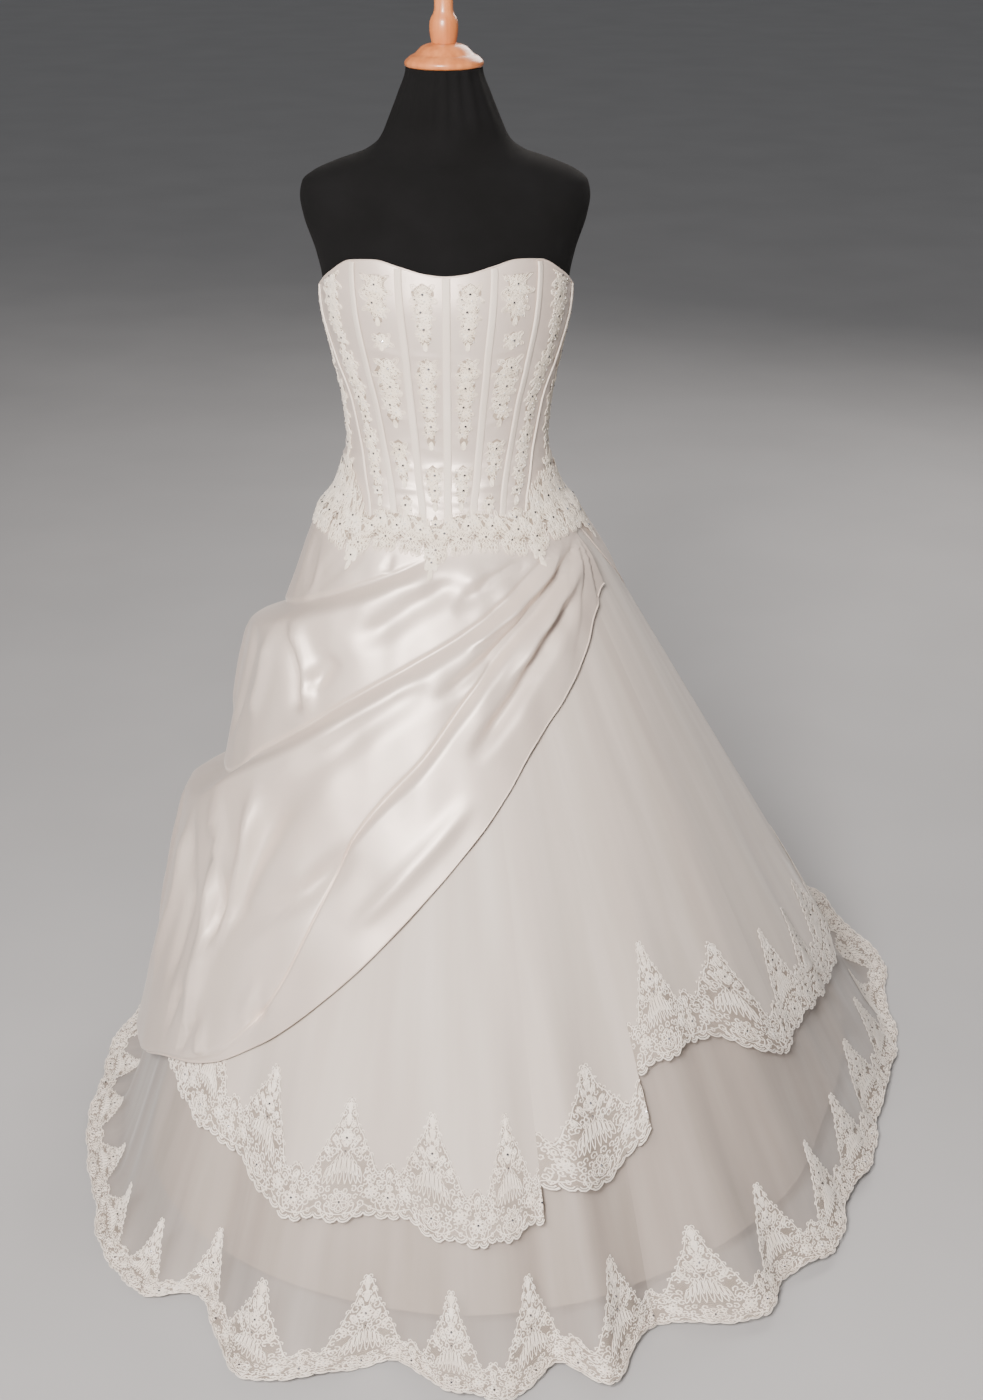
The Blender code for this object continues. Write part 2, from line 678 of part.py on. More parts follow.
def lower_wave(angle, fraction):
    """Soft upright folds of the lower tier, deeper towards the hem."""
    turn = math.radians(angle)
    swell = math.cos(17 * turn + 1.3 * math.sin(2 * turn) + 0.7 * math.sin(3 * turn + 1))
    depth = LOWER_FOLD_DEPTH * (0.7 + 0.3 * math.sin(5 * turn + 2))
    return depth * below_hip(fraction) * (0.5 + 0.5 * swell)


def upper_wave(angle, fraction):
    """Folds of the upper tier, pressed flat where the satin lies over them."""
    turn = math.radians(angle)
    swell = math.cos(19 * turn + 1.1 * math.sin(2 * turn + 0.6) + 0.8 * math.sin(5 * turn))
    turn = wrapped(angle)
    free = max(0.25, min(1.0, (turn + 40) / 30, (125 - turn) / 25))
    return UPPER_FOLD_DEPTH * free * below_hip(fraction) * (0.5 + 0.5 * swell)


def lace_place(angle, cells):
    """Place in a repeat, from 0 at its middle to 1 at either end."""
    k = min(max(bisect.bisect_right(cells, angle) - 1, 0), len(cells) - 2)
    return abs(2 * (angle - cells[k]) / (cells[k + 1] - cells[k]) - 1)


def lace_foot(place):
    """How far the scalloped foot rises between a repeat's scallops."""
    return SCALLOP_DEPTH * (1 - abs(1 - 2 * place)) ** 2


def lace_columns(cloth, cells):
    """The tier's own columns, with those of the lace's peaks and scallops where there is room."""
    columns = list(cloth.columns)
    for first, last in zip(cells, cells[1:]):
        for share in CELL_SHARES:
            angle = blend(first, last, share)
            if all(abs(angle - other) > LACE_CLEAR for other in columns):
                columns.append(angle)
    return sorted(columns)


def lace_border(name, cloth, cells, length_down, collection, shares, gap=BORDER_GAP):
    """A scalloped border made from a tier's points. length_down(angle) is the tier's length."""
    def outer(angle, share, out):
        length = length_down(angle)
        place = lace_place(angle, cells)
        top = 1 + (LACE_OVERHANG - read(LACE_TOP, "top", place)) / length
        foot = 1 + (LACE_OVERHANG - lace_foot(place)) / length
        return cloth.at(angle, cloth.rows[-1] * blend(top, foot, share), out)

    return wall(name, outer, lace_columns(cloth, cells), shares, LACE_CLOTH, "lace", collection,
                out=gap + LACE_CLOTH)


# Rows down the tiers as shares of the skirt, and the widest column in degrees
LOWER_ROWS = [0, 0.2, 0.45, 0.7, 0.84, 0.915, LOWER_HEM]
TRAIN_ROWS = [0, 0.2, 0.45, 0.66, 0.76, 0.83, 0.89, 0.94, LOWER_HEM]
TIER_STEP = 8.5
STEP_CLEAR = 0.2


def build_lower_tier(collection):
    """Six organza gores to the floor, each with its scalloped lace border."""
    def surface(angle, fraction):
        return skirt_point(angle, fraction, lower_wave(angle, fraction))

    def length_down(angle):
        radius, _ = skirt_profile(angle, LOWER_HEM)
        top_radius, top = skirt_profile(angle, 0)
        return math.hypot(radius - top_radius, top)

    for lace_name, cells in LOWER_CELLS.items():
        in_front = "front" in lace_name
        columns = fold_columns(cells[0], cells[-1], TIER_STEP)
        cloth = Cloth(surface, columns, LOWER_ROWS if in_front else TRAIN_ROWS)
        wall(lace_name.replace("lace", "skirt"), cloth.at, cloth.columns, cloth.rows,
             ORGANZA_CLOTH, "organza", collection)
        if in_front:
            lace_border(lace_name, cloth, cells, length_down, collection, LACE_SHARES)
        else:
            lace_border(lace_name, cloth, cells, length_down, collection, TRAIN_LACE_SHARES,
                        TRAIN_BORDER_GAP)


UPPER_ROWS = [0, 0.25, 0.55, 0.8, 1]


def build_upper_tier(collection):
    """The shorter organza tier in five stepped panels, each with its lace border."""
    def length_down(angle):
        fraction = upper_fraction(angle)
        radius, height = skirt_profile(angle, fraction)
        top_radius, top = skirt_profile(angle, 0)
        return math.hypot(radius - top_radius, top - height)

    for lace_name, cells in UPPER_CELLS.items():
        def upper_fraction(angle, start=cells[0], end=cells[-1]):
            inside = min(max(angle, start + STEP_CLEAR), end - STEP_CLEAR)
            return fraction_at(angle, read(UPPER_HEM, "height", wrapped(inside)))

        def surface(angle, share, upper_fraction=upper_fraction):
            fraction = share * upper_fraction(angle)
            out = UPPER_TIER_OFFSET + UPPER_TIER_SPREAD * math.sqrt(fraction)
            return skirt_point(angle, fraction, out + upper_wave(angle, fraction))

        cloth = Cloth(surface, fold_columns(cells[0], cells[-1], TIER_STEP), UPPER_ROWS)
        wall(lace_name.replace("lace", "skirt"), cloth.at, cloth.columns, cloth.rows,
             ORGANZA_CLOTH, "organza", collection)
        lace_border(lace_name, cloth, cells, length_down, collection, LACE_SHARES)


def build_underskirt(collection):
    """The opaque lining skirt, which hangs clear inside the hem folds and ends above the border."""
    def outer(angle, share, out):
        fraction = share * fraction_at(angle, UNDERSKIRT_FOOT)
        inset = UNDERSKIRT_INSET + UNDERSKIRT_SPREAD * math.sqrt(fraction)
        swing = LINING_CLEAR + read(HEM_FOLDS, "swell", wrapped(angle))
        point, _ = skirt_point(angle, fraction, out - inset)
        return point - around(angle, swing * hem_share(fraction), 0)

    for name, start, end in (("underskirt_front", -90, 90), ("underskirt_back", 90, 270)):
        wall(name, outer, evenly(start, end, 16), [0, 0.15, 0.55, 1], ORGANZA_CLOTH, "lining",
             collection)


def fold_relief(angle, height):
    """How far the satin's folds stand out from its smooth cone at one place."""
    turn = wrapped(angle)
    lines = [read(SATIN_FOLDS, name, turn) for name in ("first", "second", "third", "edge")]
    lifts = [read(SATIN_FOLDS, name, turn) for name in ("first_lift", "second_lift", "third_lift")]
    rest = 0.0
    for k, lift in enumerate(lifts):
        below = lines[k] - height
        if below <= 0:
            reach = lines[k - 1] - lines[k] if k else WAIST_SEAM - lines[0]
            near = 1 + below / max(reach, FOLD_FADE)
            return rest + FOLD_LIP * min(1, lift / FOLD_FADE) * max(0.0, near) ** 2
        span = max(lines[k] - lines[k + 1], 1e-6)
        share = min(1.0, below / span)
        shoulder = 1 - math.exp(-(below / FOLD_ROUNDING) ** 2)
        slack = blend(1.0, FOLD_REST, share)
        start = rest
        rest = FOLD_REST * lift
        if share < 1 or k == 2:
            return start * (1 - shoulder) + lift * shoulder * slack
    return rest


def hip_pleats(angle, height):
    """Small pleats that fan out from the gathered hip."""
    along = math.radians(HIP_ANGLE - wrapped(angle)) * HIP_RADIUS
    down = WAIST_SEAM - height
    reach = math.hypot(along, down)
    fan = math.atan2(down, max(along, 1e-6)) / (math.pi / 2)
    strength = min(1.0, reach / PLEAT_START) * math.exp(-(reach / PLEAT_REACH) ** 2)
    return PLEAT_DEPTH * strength * (0.5 - 0.5 * math.cos(2 * math.pi * PLEAT_COUNT * fan))


def satin_radius(angle, height):
    """Radius of the satin overskirt's outer face."""
    fraction = fraction_at(angle, min(height, SKIRT_TOP))
    radius, _ = skirt_profile(angle, fraction)
    out = SATIN_OFFSET + SATIN_SPREAD * math.sqrt(fraction)
    free = min(1.0, max(0.0, (WAIST_SEAM - height - SATIN_FLAT) / SATIN_RISE))
    relief = fold_relief(angle, height) + hip_pleats(angle, height)
    return radius + out + free * free * (3 - 2 * free) * relief


def satin_rows(angle):
    """Heights of the satin's rows at one column, which follow the fold lines."""
    turn = wrapped(angle)
    first, second, third, edge = [
        read(SATIN_FOLDS, name, turn) for name in ("first", "second", "third", "edge")]
    lip, valley, crown = 0.002, 0.005, 0.032
    rows = [
        SKIRT_TOP, first + lip, first - valley, first - crown, blend(first - crown, second, 0.5),
        second + lip, second - valley, second - crown, blend(second - crown, third, 0.35),
        blend(second - crown, third, 0.7), third + lip, third - valley, third - crown,
        blend(third - crown, edge, 0.5), edge,
    ]
    for i in range(1, len(rows)):
        rows[i] = min(rows[i], rows[i - 1] - ROW_STEP)
    rows[-1] = edge
    for i in range(len(rows) - 2, 0, -1):
        rows[i] = max(rows[i], rows[i + 1] + ROW_STEP)
    return rows


def build_overskirt(collection):
    """The satin overskirt: the folded drape, its run behind, and the panel behind the left hip."""
    def drape(angle, row, out):
        height = satin_rows(angle)[row]
        return around(angle, satin_radius(angle, height) + out, height)

    row_numbers = list(range(len(satin_rows(0))))
    for name, start, end, step in (("overskirt_drape", -90, 69, SATIN_STEP),
                                   ("overskirt_back_r", -180, -90, BACK_SATIN_STEP)):
        wall(name, drape, fold_columns(start, end, step), row_numbers, SATIN_CLOTH, "satin",
             collection)

    def back_panel(share, down, out):
        height = blend(SKIRT_TOP, BACK_PANEL_FOOT, down)
        angle = blend(read(BACK_PANEL_EDGE, "angle", height), 180, share)
        fraction = fraction_at(angle, height)
        radius, _ = skirt_profile(angle, fraction)
        radius += SATIN_OFFSET + BACK_PANEL_SPREAD * math.sqrt(fraction)
        return around(angle, radius + out, height)

    wall("overskirt_back_l", back_panel, evenly(0, 1, 14),
         [0, 0.03, 0.06, 0.10, 0.15, 0.25, 0.42, 0.7, 1],
         SATIN_CLOTH, "satin", collection)


def build_waist_lace(collection):
    """The scalloped lace band that covers the waist seam all round."""
    def outer(angle, share, out):
        turn = wrapped(angle)
        foot = read(WAIST_LACE, "foot", turn)
        if share <= 0.5:
            height = blend(WAIST_LACE_TOP, WAIST_SEAM, share * 2)
            radius = half_ellipse_radius(BODICE, turn, height)
        else:
            height = blend(WAIST_SEAM, foot, share * 2 - 1)
            radius = satin_radius(angle, height) + LACE_GAP * (share * 2 - 1)
        return around(angle, radius + out, height)

    for name, start, end in (("waist_lace_front", -90, 90), ("waist_lace_back", 90, 270)):
        wall(name, outer, evenly(start, end, 30), [0, 0.5, 1], LACE_CLOTH, "lace", collection,
             out=LACE_GAP + LACE_CLOTH)


def main():
    clear_scene()
    collection = new_collection("ball_gown")
    build_form(collection)
    panels = build_bodice(collection)
    build_appliques(panels, collection)
    build_underskirt(collection)
    build_lower_tier(collection)
    build_upper_tier(collection)
    build_overskirt(collection)
    build_waist_lace(collection)


main()
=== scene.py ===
"""Looks of a strapless ball gown on its dress form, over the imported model.

Metres, +Z up. Angles are degrees round the Z axis: 0 is the front (-Y), +90 the wearer's left (+X).
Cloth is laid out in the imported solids' own sizes. Lace is drawn flat in millimetres, then laid on.
"""
import math

import bpy
import numpy as np
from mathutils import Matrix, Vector


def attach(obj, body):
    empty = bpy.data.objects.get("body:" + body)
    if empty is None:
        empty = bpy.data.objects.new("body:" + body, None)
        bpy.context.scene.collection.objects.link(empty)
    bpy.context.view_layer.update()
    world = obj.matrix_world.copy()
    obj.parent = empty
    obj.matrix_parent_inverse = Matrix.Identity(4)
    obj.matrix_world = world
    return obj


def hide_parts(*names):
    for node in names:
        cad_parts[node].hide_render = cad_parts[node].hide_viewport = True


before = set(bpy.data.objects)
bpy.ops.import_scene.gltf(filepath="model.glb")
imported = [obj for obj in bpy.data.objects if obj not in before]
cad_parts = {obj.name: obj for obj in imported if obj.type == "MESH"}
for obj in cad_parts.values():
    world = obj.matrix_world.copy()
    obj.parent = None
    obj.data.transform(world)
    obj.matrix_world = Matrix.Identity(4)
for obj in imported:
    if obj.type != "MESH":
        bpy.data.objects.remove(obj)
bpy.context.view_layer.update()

MM = 0.001

# The gown's main levels and the gaps between its layers, as in the solids
WAIST_SEAM = 1.000
SKIRT_TOP = WAIST_SEAM - 0.0004
UNDERSKIRT_INSET = 0.0023
UPPER_TIER_OFFSET = 0.0023
SATIN_OFFSET = 0.0047
UNDERSKIRT_SPREAD = 0.008
UPPER_TIER_SPREAD = 0.010
SATIN_SPREAD = 0.018
BACK_PANEL_SPREAD = 0.029
FLOOR_LIFT = 0.0018
FLOOR_BEND = 0.035
LOWER_HEM = 0.985
UNDERSKIRT_FOOT = 0.055
LACE_OVERHANG = 0.010
SCALLOP_DEPTH = 0.012
TORSO_FOOT = 0.860
NECK_TOP = 1.612
BACK_PANEL_FOOT = 0.104
FOLDS_START = 0.08
HEM_FOLDS_START = 0.35
LINING_CLEAR = 0.055
LOWER_FOLD_DEPTH = 0.0085
UPPER_FOLD_DEPTH = 0.0085
LOWER_RIPPLE_DEPTH = 0.0030
UPPER_RIPPLE_DEPTH = 0.0028

# Widths of the visible cloth's columns, in degrees
ORGANZA_STEP = 1.0
SATIN_STEP = 0.9


def chart(columns, rows):
    """A short table with named columns, whose first column is the place along it."""
    return columns.split(), rows


def read(table, column, place):
    """Values of one column between the table's rows, on a smooth curve through them."""
    names, rows = table
    places = np.array([row[0] for row in rows], float)
    values = np.array([row[names.index(column)] for row in rows], float)
    steps = np.diff(values) / np.diff(places)
    slopes = np.zeros(len(places))
    product = steps[:-1] * steps[1:]
    total = np.where(product > 0, steps[:-1] + steps[1:], 1)
    slopes[1:-1] = np.where(product > 0, 2 * product / total, 0)
    place = np.clip(place, places[0], places[-1])
    k = np.clip(np.searchsorted(places, place, side="right") - 1, 0, len(places) - 2)
    span = places[k + 1] - places[k]
    t = (place - places[k]) / span
    bend = (3 * steps[k] - 2 * slopes[k] - slopes[k + 1]) * t * t
    bend = bend + (slopes[k] + slopes[k + 1] - 2 * steps[k]) * t ** 3
    return values[k] + span * (slopes[k] * t + bend)


# The bodice's outer face, as half ellipses in front of and behind the side line
BODICE = chart("height half_width front back", [
    (0.93, 0.200, 0.165, 0.158),
    (1.000, 0.188, 0.150, 0.140),
    (1.030, 0.165, 0.135, 0.125),
    (1.075, 0.1485, 0.120, 0.105),
    (1.113, 0.1435, 0.113, 0.098),
    (1.170, 0.148, 0.118, 0.100),
    (1.230, 0.160, 0.128, 0.106),
    (1.310, 0.175, 0.136, 0.112),
    (1.360, 0.176, 0.128, 0.110),
    (1.420, 0.172, 0.112, 0.106),
])

# The dress form's body, shoulders and covered neck
FORM = chart("height half_width front back", [
    (TORSO_FOOT, 0.150, 0.112, 0.112),
    (0.868, 0.164, 0.124, 0.122),
    (0.905, 0.178, 0.136, 0.132),
    (0.950, 0.184, 0.143, 0.136),
    (1.000, 0.1780, 0.1400, 0.1300),
    (1.030, 0.1598, 0.1302, 0.1202),
    (1.075, 0.1433, 0.1154, 0.1004),
    (1.113, 0.1393, 0.1090, 0.0940),
    (1.170, 0.1438, 0.1140, 0.0960),
    (1.230, 0.1558, 0.1240, 0.1020),
    (1.310, 0.1700, 0.1320, 0.1080),
    (1.335, 0.1710, 0.1270, 0.1070),
    (1.370, 0.1780, 0.1150, 0.1050),
    (1.420, 0.1940, 0.0980, 0.1010),
    (1.445, 0.1980, 0.0880, 0.0950),
    (1.465, 0.1940, 0.0800, 0.0900),
    (1.478, 0.1780, 0.0740, 0.0850),
    (1.490, 0.1500, 0.0690, 0.0790),
    (1.505, 0.1080, 0.0640, 0.0720),
    (1.518, 0.0900, 0.0610, 0.0680),
    (1.545, 0.0750, 0.0560, 0.0610),
    (1.580, 0.0600, 0.0510, 0.0530),
    (NECK_TOP, 0.0495, 0.0480, 0.0480),
])

# The bodice's top edge, from the centre front round to the centre back
NECKLINE = chart("angle height", [
    (0, 1.3590), (12, 1.3615), (28, 1.3705), (42, 1.3775), (55, 1.3745),
    (68, 1.3540), (82, 1.3310), (105, 1.3120), (140, 1.3010), (180, 1.2980),
])

# Where the bodice's seams lie at each height, in degrees from the centre front
BODICE_SEAMS = chart("height centre inner outer side back", [
    (1.000, 0, 14.0, 29.0, 42.0, 150.0),
    (1.040, 0, 15.5, 33.0, 47.5, 146.0),
    (1.070, 0, 18.5, 37.0, 54.0, 141.0),
    (1.120, 0, 22.0, 43.5, 61.5, 134.0),
    (1.190, 0, 23.5, 46.5, 66.5, 130.0),
    (1.250, 0, 24.0, 48.5, 75.0, 127.0),
    (1.310, 0, 25.5, 50.5, 80.0, 125.0),
    (1.380, 0, 28.5, 54.0, 82.0, 124.0),
])

# The skirt's plan: where the straight side would meet the floor, and where the hem lies
SKIRT_PLAN = chart("angle foot hem", [
    (-180, 0.700, 0.930), (-150, 0.640, 0.820), (-122, 0.545, 0.640), (-98, 0.520, 0.585),
    (-80, 0.530, 0.595), (-54, 0.605, 0.656), (-28, 0.660, 0.695), (0, 0.690, 0.715),
    (15, 0.700, 0.718), (30, 0.690, 0.706), (50, 0.690, 0.702), (68, 0.685, 0.698),
    (85, 0.705, 0.715), (105, 0.760, 0.800), (120, 0.785, 0.890), (136, 0.790, 0.950),
    (150, 0.760, 0.965), (180, 0.700, 0.930),
])

# How far the hem swings out of its plan in each of its folds
HEM_FOLDS = chart("angle swell", [
    (-180, 0.000), (-171, 0.010), (-161, -0.014), (-150, 0.012), (-138, -0.012), (-126, 0.010),
    (-114, -0.012), (-102, 0.010), (-90, -0.004), (-80, 0.002), (-70, -0.006), (-60, -0.016),
    (-52, 0.004), (-41, 0.008), (-34.5, -0.048), (-30, -0.016), (-22, 0.052), (-15, 0.010),
    (-7.5, -0.042), (-1, 0.012), (5, 0.032), (11.5, -0.026), (16, 0.036), (20.5, -0.022),
    (25, -0.048), (29, -0.018), (36, 0.028), (43, -0.008), (51, 0.014), (61, -0.020),
    (70, -0.004), (79, -0.014), (88, -0.004), (97, 0.008), (106, -0.008), (115, 0.012),
    (124, -0.010), (133, 0.012), (142, -0.012), (150, 0.010), (160, -0.014), (170, 0.010),
    (180, 0.000),
])

# The upper tier's hem, which steps up from the wearer's right to the left
UPPER_HEM = chart("angle height", [
    (-180, 0.250), (-120, 0.260), (-60, 0.262), (-46, 0.235), (-33, 0.205), (-22, 0.182),
    (-10, 0.186), (0, 0.174), (11.4, 0.186), (11.6, 0.228), (21, 0.218), (28.9, 0.262),
    (29.1, 0.330), (40, 0.346), (50, 0.305), (59, 0.252), (68, 0.258), (82, 0.232),
    (90, 0.222), (100, 0.265), (140, 0.275), (180, 0.250),
])

# The satin drape: its fold lines and lower edge, and how far each fold stands out below its line
SATIN_FOLDS = chart("angle first second third edge first_lift second_lift third_lift", [
    (-180, 0.800, 0.480, 0.110, 0.104, 0.001, 0.002, 0.000),
    (-150, 0.810, 0.510, 0.112, 0.106, 0.024, 0.034, 0.000),
    (-120, 0.825, 0.545, 0.118, 0.112, 0.036, 0.050, 0.000),
    (-95, 0.848, 0.580, 0.140, 0.134, 0.044, 0.060, 0.000),
    (-70, 0.882, 0.630, 0.200, 0.192, 0.044, 0.058, 0.000),
    (-56, 0.906, 0.696, 0.262, 0.252, 0.040, 0.052, 0.000),
    (-41, 0.931, 0.756, 0.325, 0.308, 0.032, 0.042, 0.004),
    (-33, 0.943, 0.788, 0.405, 0.354, 0.028, 0.036, 0.010),
    (-21, 0.961, 0.825, 0.640, 0.445, 0.022, 0.030, 0.016),
    (-6, 0.982, 0.862, 0.742, 0.563, 0.016, 0.024, 0.020),
    (3, 0.990, 0.881, 0.798, 0.626, 0.013, 0.021, 0.020),
    (14, 0.994, 0.904, 0.850, 0.698, 0.010, 0.018, 0.018),
    (22, 0.996, 0.922, 0.879, 0.746, 0.008, 0.016, 0.016),
    (34, 0.997, 0.946, 0.908, 0.795, 0.005, 0.012, 0.014),
    (45, 0.998, 0.966, 0.934, 0.837, 0.003, 0.009, 0.012),
    (58, 0.999, 0.982, 0.964, 0.887, 0.001, 0.005, 0.008),
    (69, 0.9995, 0.990, 0.980, 0.910, 0.000, 0.002, 0.004),
])
# Share of a fold's lift that is left where the next begins, and the tucked crease over each fold
FOLD_REST = 0.22
TUCK_DEPTH = 0.0035
TUCK_HALF_WIDTH = 0.005
# The gathered hip with its pleats
HIP_ANGLE = 70.0
HIP_RADIUS = 0.19
PLEAT_COUNT = 6
PLEAT_DEPTH = 0.0065
PLEAT_START = 0.02
PLEAT_REACH = 0.13
# The satin lies flat just under the waist seam, then rises to its folds, clear of the tier below
SATIN_FLAT = 0.010
SATIN_RISE = 0.045
SATIN_CLEAR = 0.0016
BACK_PANEL_CLEAR = 0.0014
SATIN_RIPPLE_DEPTH = 0.0012

# The front edge of the satin panel behind the wearer's left hip
BACK_PANEL_EDGE = chart("height angle", [
    (0.100, 158), (0.300, 150), (0.500, 140), (0.700, 125), (0.820, 110), (0.870, 100),
    (0.920, 88), (0.960, 80), (1.000, 74),
])

# The foot of the lace band over the waist seam
WAIST_LACE = chart("angle foot", [
    (-180, 0.972), (-168, 0.992), (-156, 0.990), (-144, 0.972), (-132, 0.992), (-120, 0.990),
    (-108, 0.972), (-96, 0.992), (-84, 0.993), (-70, 0.994), (-58, 0.986), (-47, 0.974),
    (-38, 0.990), (-27, 0.991), (-16, 0.988), (-8, 0.976), (2, 0.988), (14, 0.992),
    (26, 0.989), (34, 0.983), (43, 0.981), (52, 0.992), (62, 0.993), (74, 0.993),
    (84, 0.980), (96, 0.992), (108, 0.974), (120, 0.990), (132, 0.992), (144, 0.972),
    (156, 0.990), (168, 0.992), (180, 0.972),
])

# Where one repeat of lace ends and the next begins on each tier, in degrees
LOWER_CELLS = {
    "lower_lace_front": (-30, -17, -5, 4, 13.5, 25),
    "lower_lace_front_l": (25, 37.5, 49.5, 61, 74, 88),
    "lower_lace_back_l": (88, 100, 112, 124, 137, 150),
    "lower_lace_back": (150, 162, 174, 186, 198, 210),
    "lower_lace_back_r": (-150, -138, -126, -114, -102, -90),
    "lower_lace_front_r": (-90, -76, -62, -48.5, -39, -30),
}
UPPER_CELLS = {
    "upper_lace_side_r": (-150, -137, -124, -111, -98, -85, -72, -60),
    "upper_lace_front": (-60, -48, -36, -21.5, -9, 3, 11.5),
    "upper_lace_front_l": (11.5, 29),
    "upper_lace_side_l": (29, 41, 61),
    "upper_lace_back": (61, 73, 85, 98, 110, 122, 134, 146, 158, 170, 183, 196, 210),
}
# In millimetres: a repeat's width and its upper edge, and how far the lace lies off the cloth
CELL_WIDTH = 140.0
LACE_LIFT = 0.8
LACE_TOP = chart("x top", [
    (0, 165), (7, 156), (12, 140), (20, 122), (24, 118), (32, 98), (38, 92), (46, 72),
    (54, 62), (60, 64), (66, 72), (70, 74),
])


def around(angle, radius, height):
    turn = np.radians(angle)
    parts = np.broadcast_arrays(radius * np.sin(turn), -radius * np.cos(turn), height)
    return np.stack(parts, axis=-1)


def oval_radius(table, angle, height):
    """Radius of a rounded section that has one depth in front and another behind."""
    turn = np.radians(angle)
    depth = np.where(np.cos(turn) > 0, read(table, "front", height), read(table, "back", height))
    width = read(table, "half_width", height)
    fullness = 2.15
    across = np.abs(np.sin(turn) / width) ** fullness
    along = np.abs(np.cos(turn) / depth) ** fullness
    return (across + along) ** (-1 / fullness)


def wrapped(angle):
    """The same direction as an angle from -180 to 180."""
    return (np.asarray(angle, float) + 180) % 360 - 180


def blend(low, high, share):
    return low + (high - low) * share


def smooth(share):
    share = np.clip(share, 0, 1)
    return share * share * (3 - 2 * share)


def ripples(x, y, seed, count=7):
    """Soft uneven waves from -1 to 1, the same each run. x and y are in wavelengths."""
    chance = np.random.default_rng(seed)
    total = 0
    for _ in range(count):
        heading = chance.uniform(0, 2 * math.pi)
        pitch = chance.uniform(0.6, 1.5)
        phase = chance.uniform(0, 2 * math.pi)
        along = x * math.cos(heading) + y * math.sin(heading)
        total = total + np.sin(2 * math.pi * pitch * along + phase)
    return total / math.sqrt(count * 2)


def add_mesh(name, points, faces, material, replaced=None, uv=None, smooth_shaded=True):
    """A mesh object that rides on the gown's one body. uv holds one pair for each point."""
    mesh = bpy.data.meshes.new(name)
    mesh.from_pydata(np.asarray(points, float).reshape(-1, 3).tolist(), [], faces)
    if uv is not None:
        layer = mesh.uv_layers.new(name="cloth")
        corners = np.empty(len(mesh.loops), dtype=np.int32)
        mesh.loops.foreach_get("vertex_index", corners)
        layer.data.foreach_set("uv", np.asarray(uv, float).reshape(-1, 2)[corners].ravel())
    mesh.materials.append(material)
    if smooth_shaded:
        mesh.shade_smooth()
    piece = bpy.data.objects.new(name, mesh)
    bpy.context.scene.collection.objects.link(piece)
    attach(piece, "root")
    if replaced:
        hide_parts(replaced)
    return piece


def grid_faces(columns, rows, closed=False):
    i, j = np.meshgrid(np.arange(columns if closed else columns - 1), np.arange(rows - 1), indexing="ij")
    beside = (i + 1) % columns
    quads = np.stack([i * rows + j, i * rows + j + 1, beside * rows + j + 1, beside * rows + j], -1)
    return quads.reshape(-1, 4).tolist()


def cloth_grid(name, points, material, replaced, closed=False):
    """Cloth through a grid of points [column, row], whose rows run down, with its UV in metres."""
    along = np.linalg.norm(np.diff(points, axis=0), axis=2).mean(axis=1)
    down = np.linalg.norm(np.diff(points, axis=1), axis=2).mean(axis=0)
    u = np.concatenate([[0], np.cumsum(along)])
    v = np.concatenate([[0], np.cumsum(down)])
    uv = np.stack(np.meshgrid(u, -v, indexing="ij"), -1)
    columns, rows = points.shape[:2]
    return add_mesh(name, points, grid_faces(columns, rows, closed), material, replaced, uv)


def tube_along(path, radius, sides=8):
    """Points and faces of a round tube along a path, open at its ends."""
    ahead = np.gradient(path, axis=0)
    ahead /= np.linalg.norm(ahead, axis=1, keepdims=True)
    out = path * [1, 1, 0]
    out /= np.linalg.norm(out, axis=1, keepdims=True)
    across = np.cross(ahead, out)
    across /= np.linalg.norm(across, axis=1, keepdims=True)
    out = np.cross(across, ahead)
    turns = np.arange(sides) * 2 * math.pi / sides
    ring = path[:, None] + radius * (
        np.cos(turns)[None, :, None] * across[:, None] + np.sin(turns)[None, :, None] * out[:, None])
    faces = []
    for i in range(len(path) - 1):
        for j in range(sides):
            k = (j + 1) % sides
            faces.append([i * sides + j, i * sides + k, (i + 1) * sides + k, (i + 1) * sides + j])
    return ring, faces


# Materials


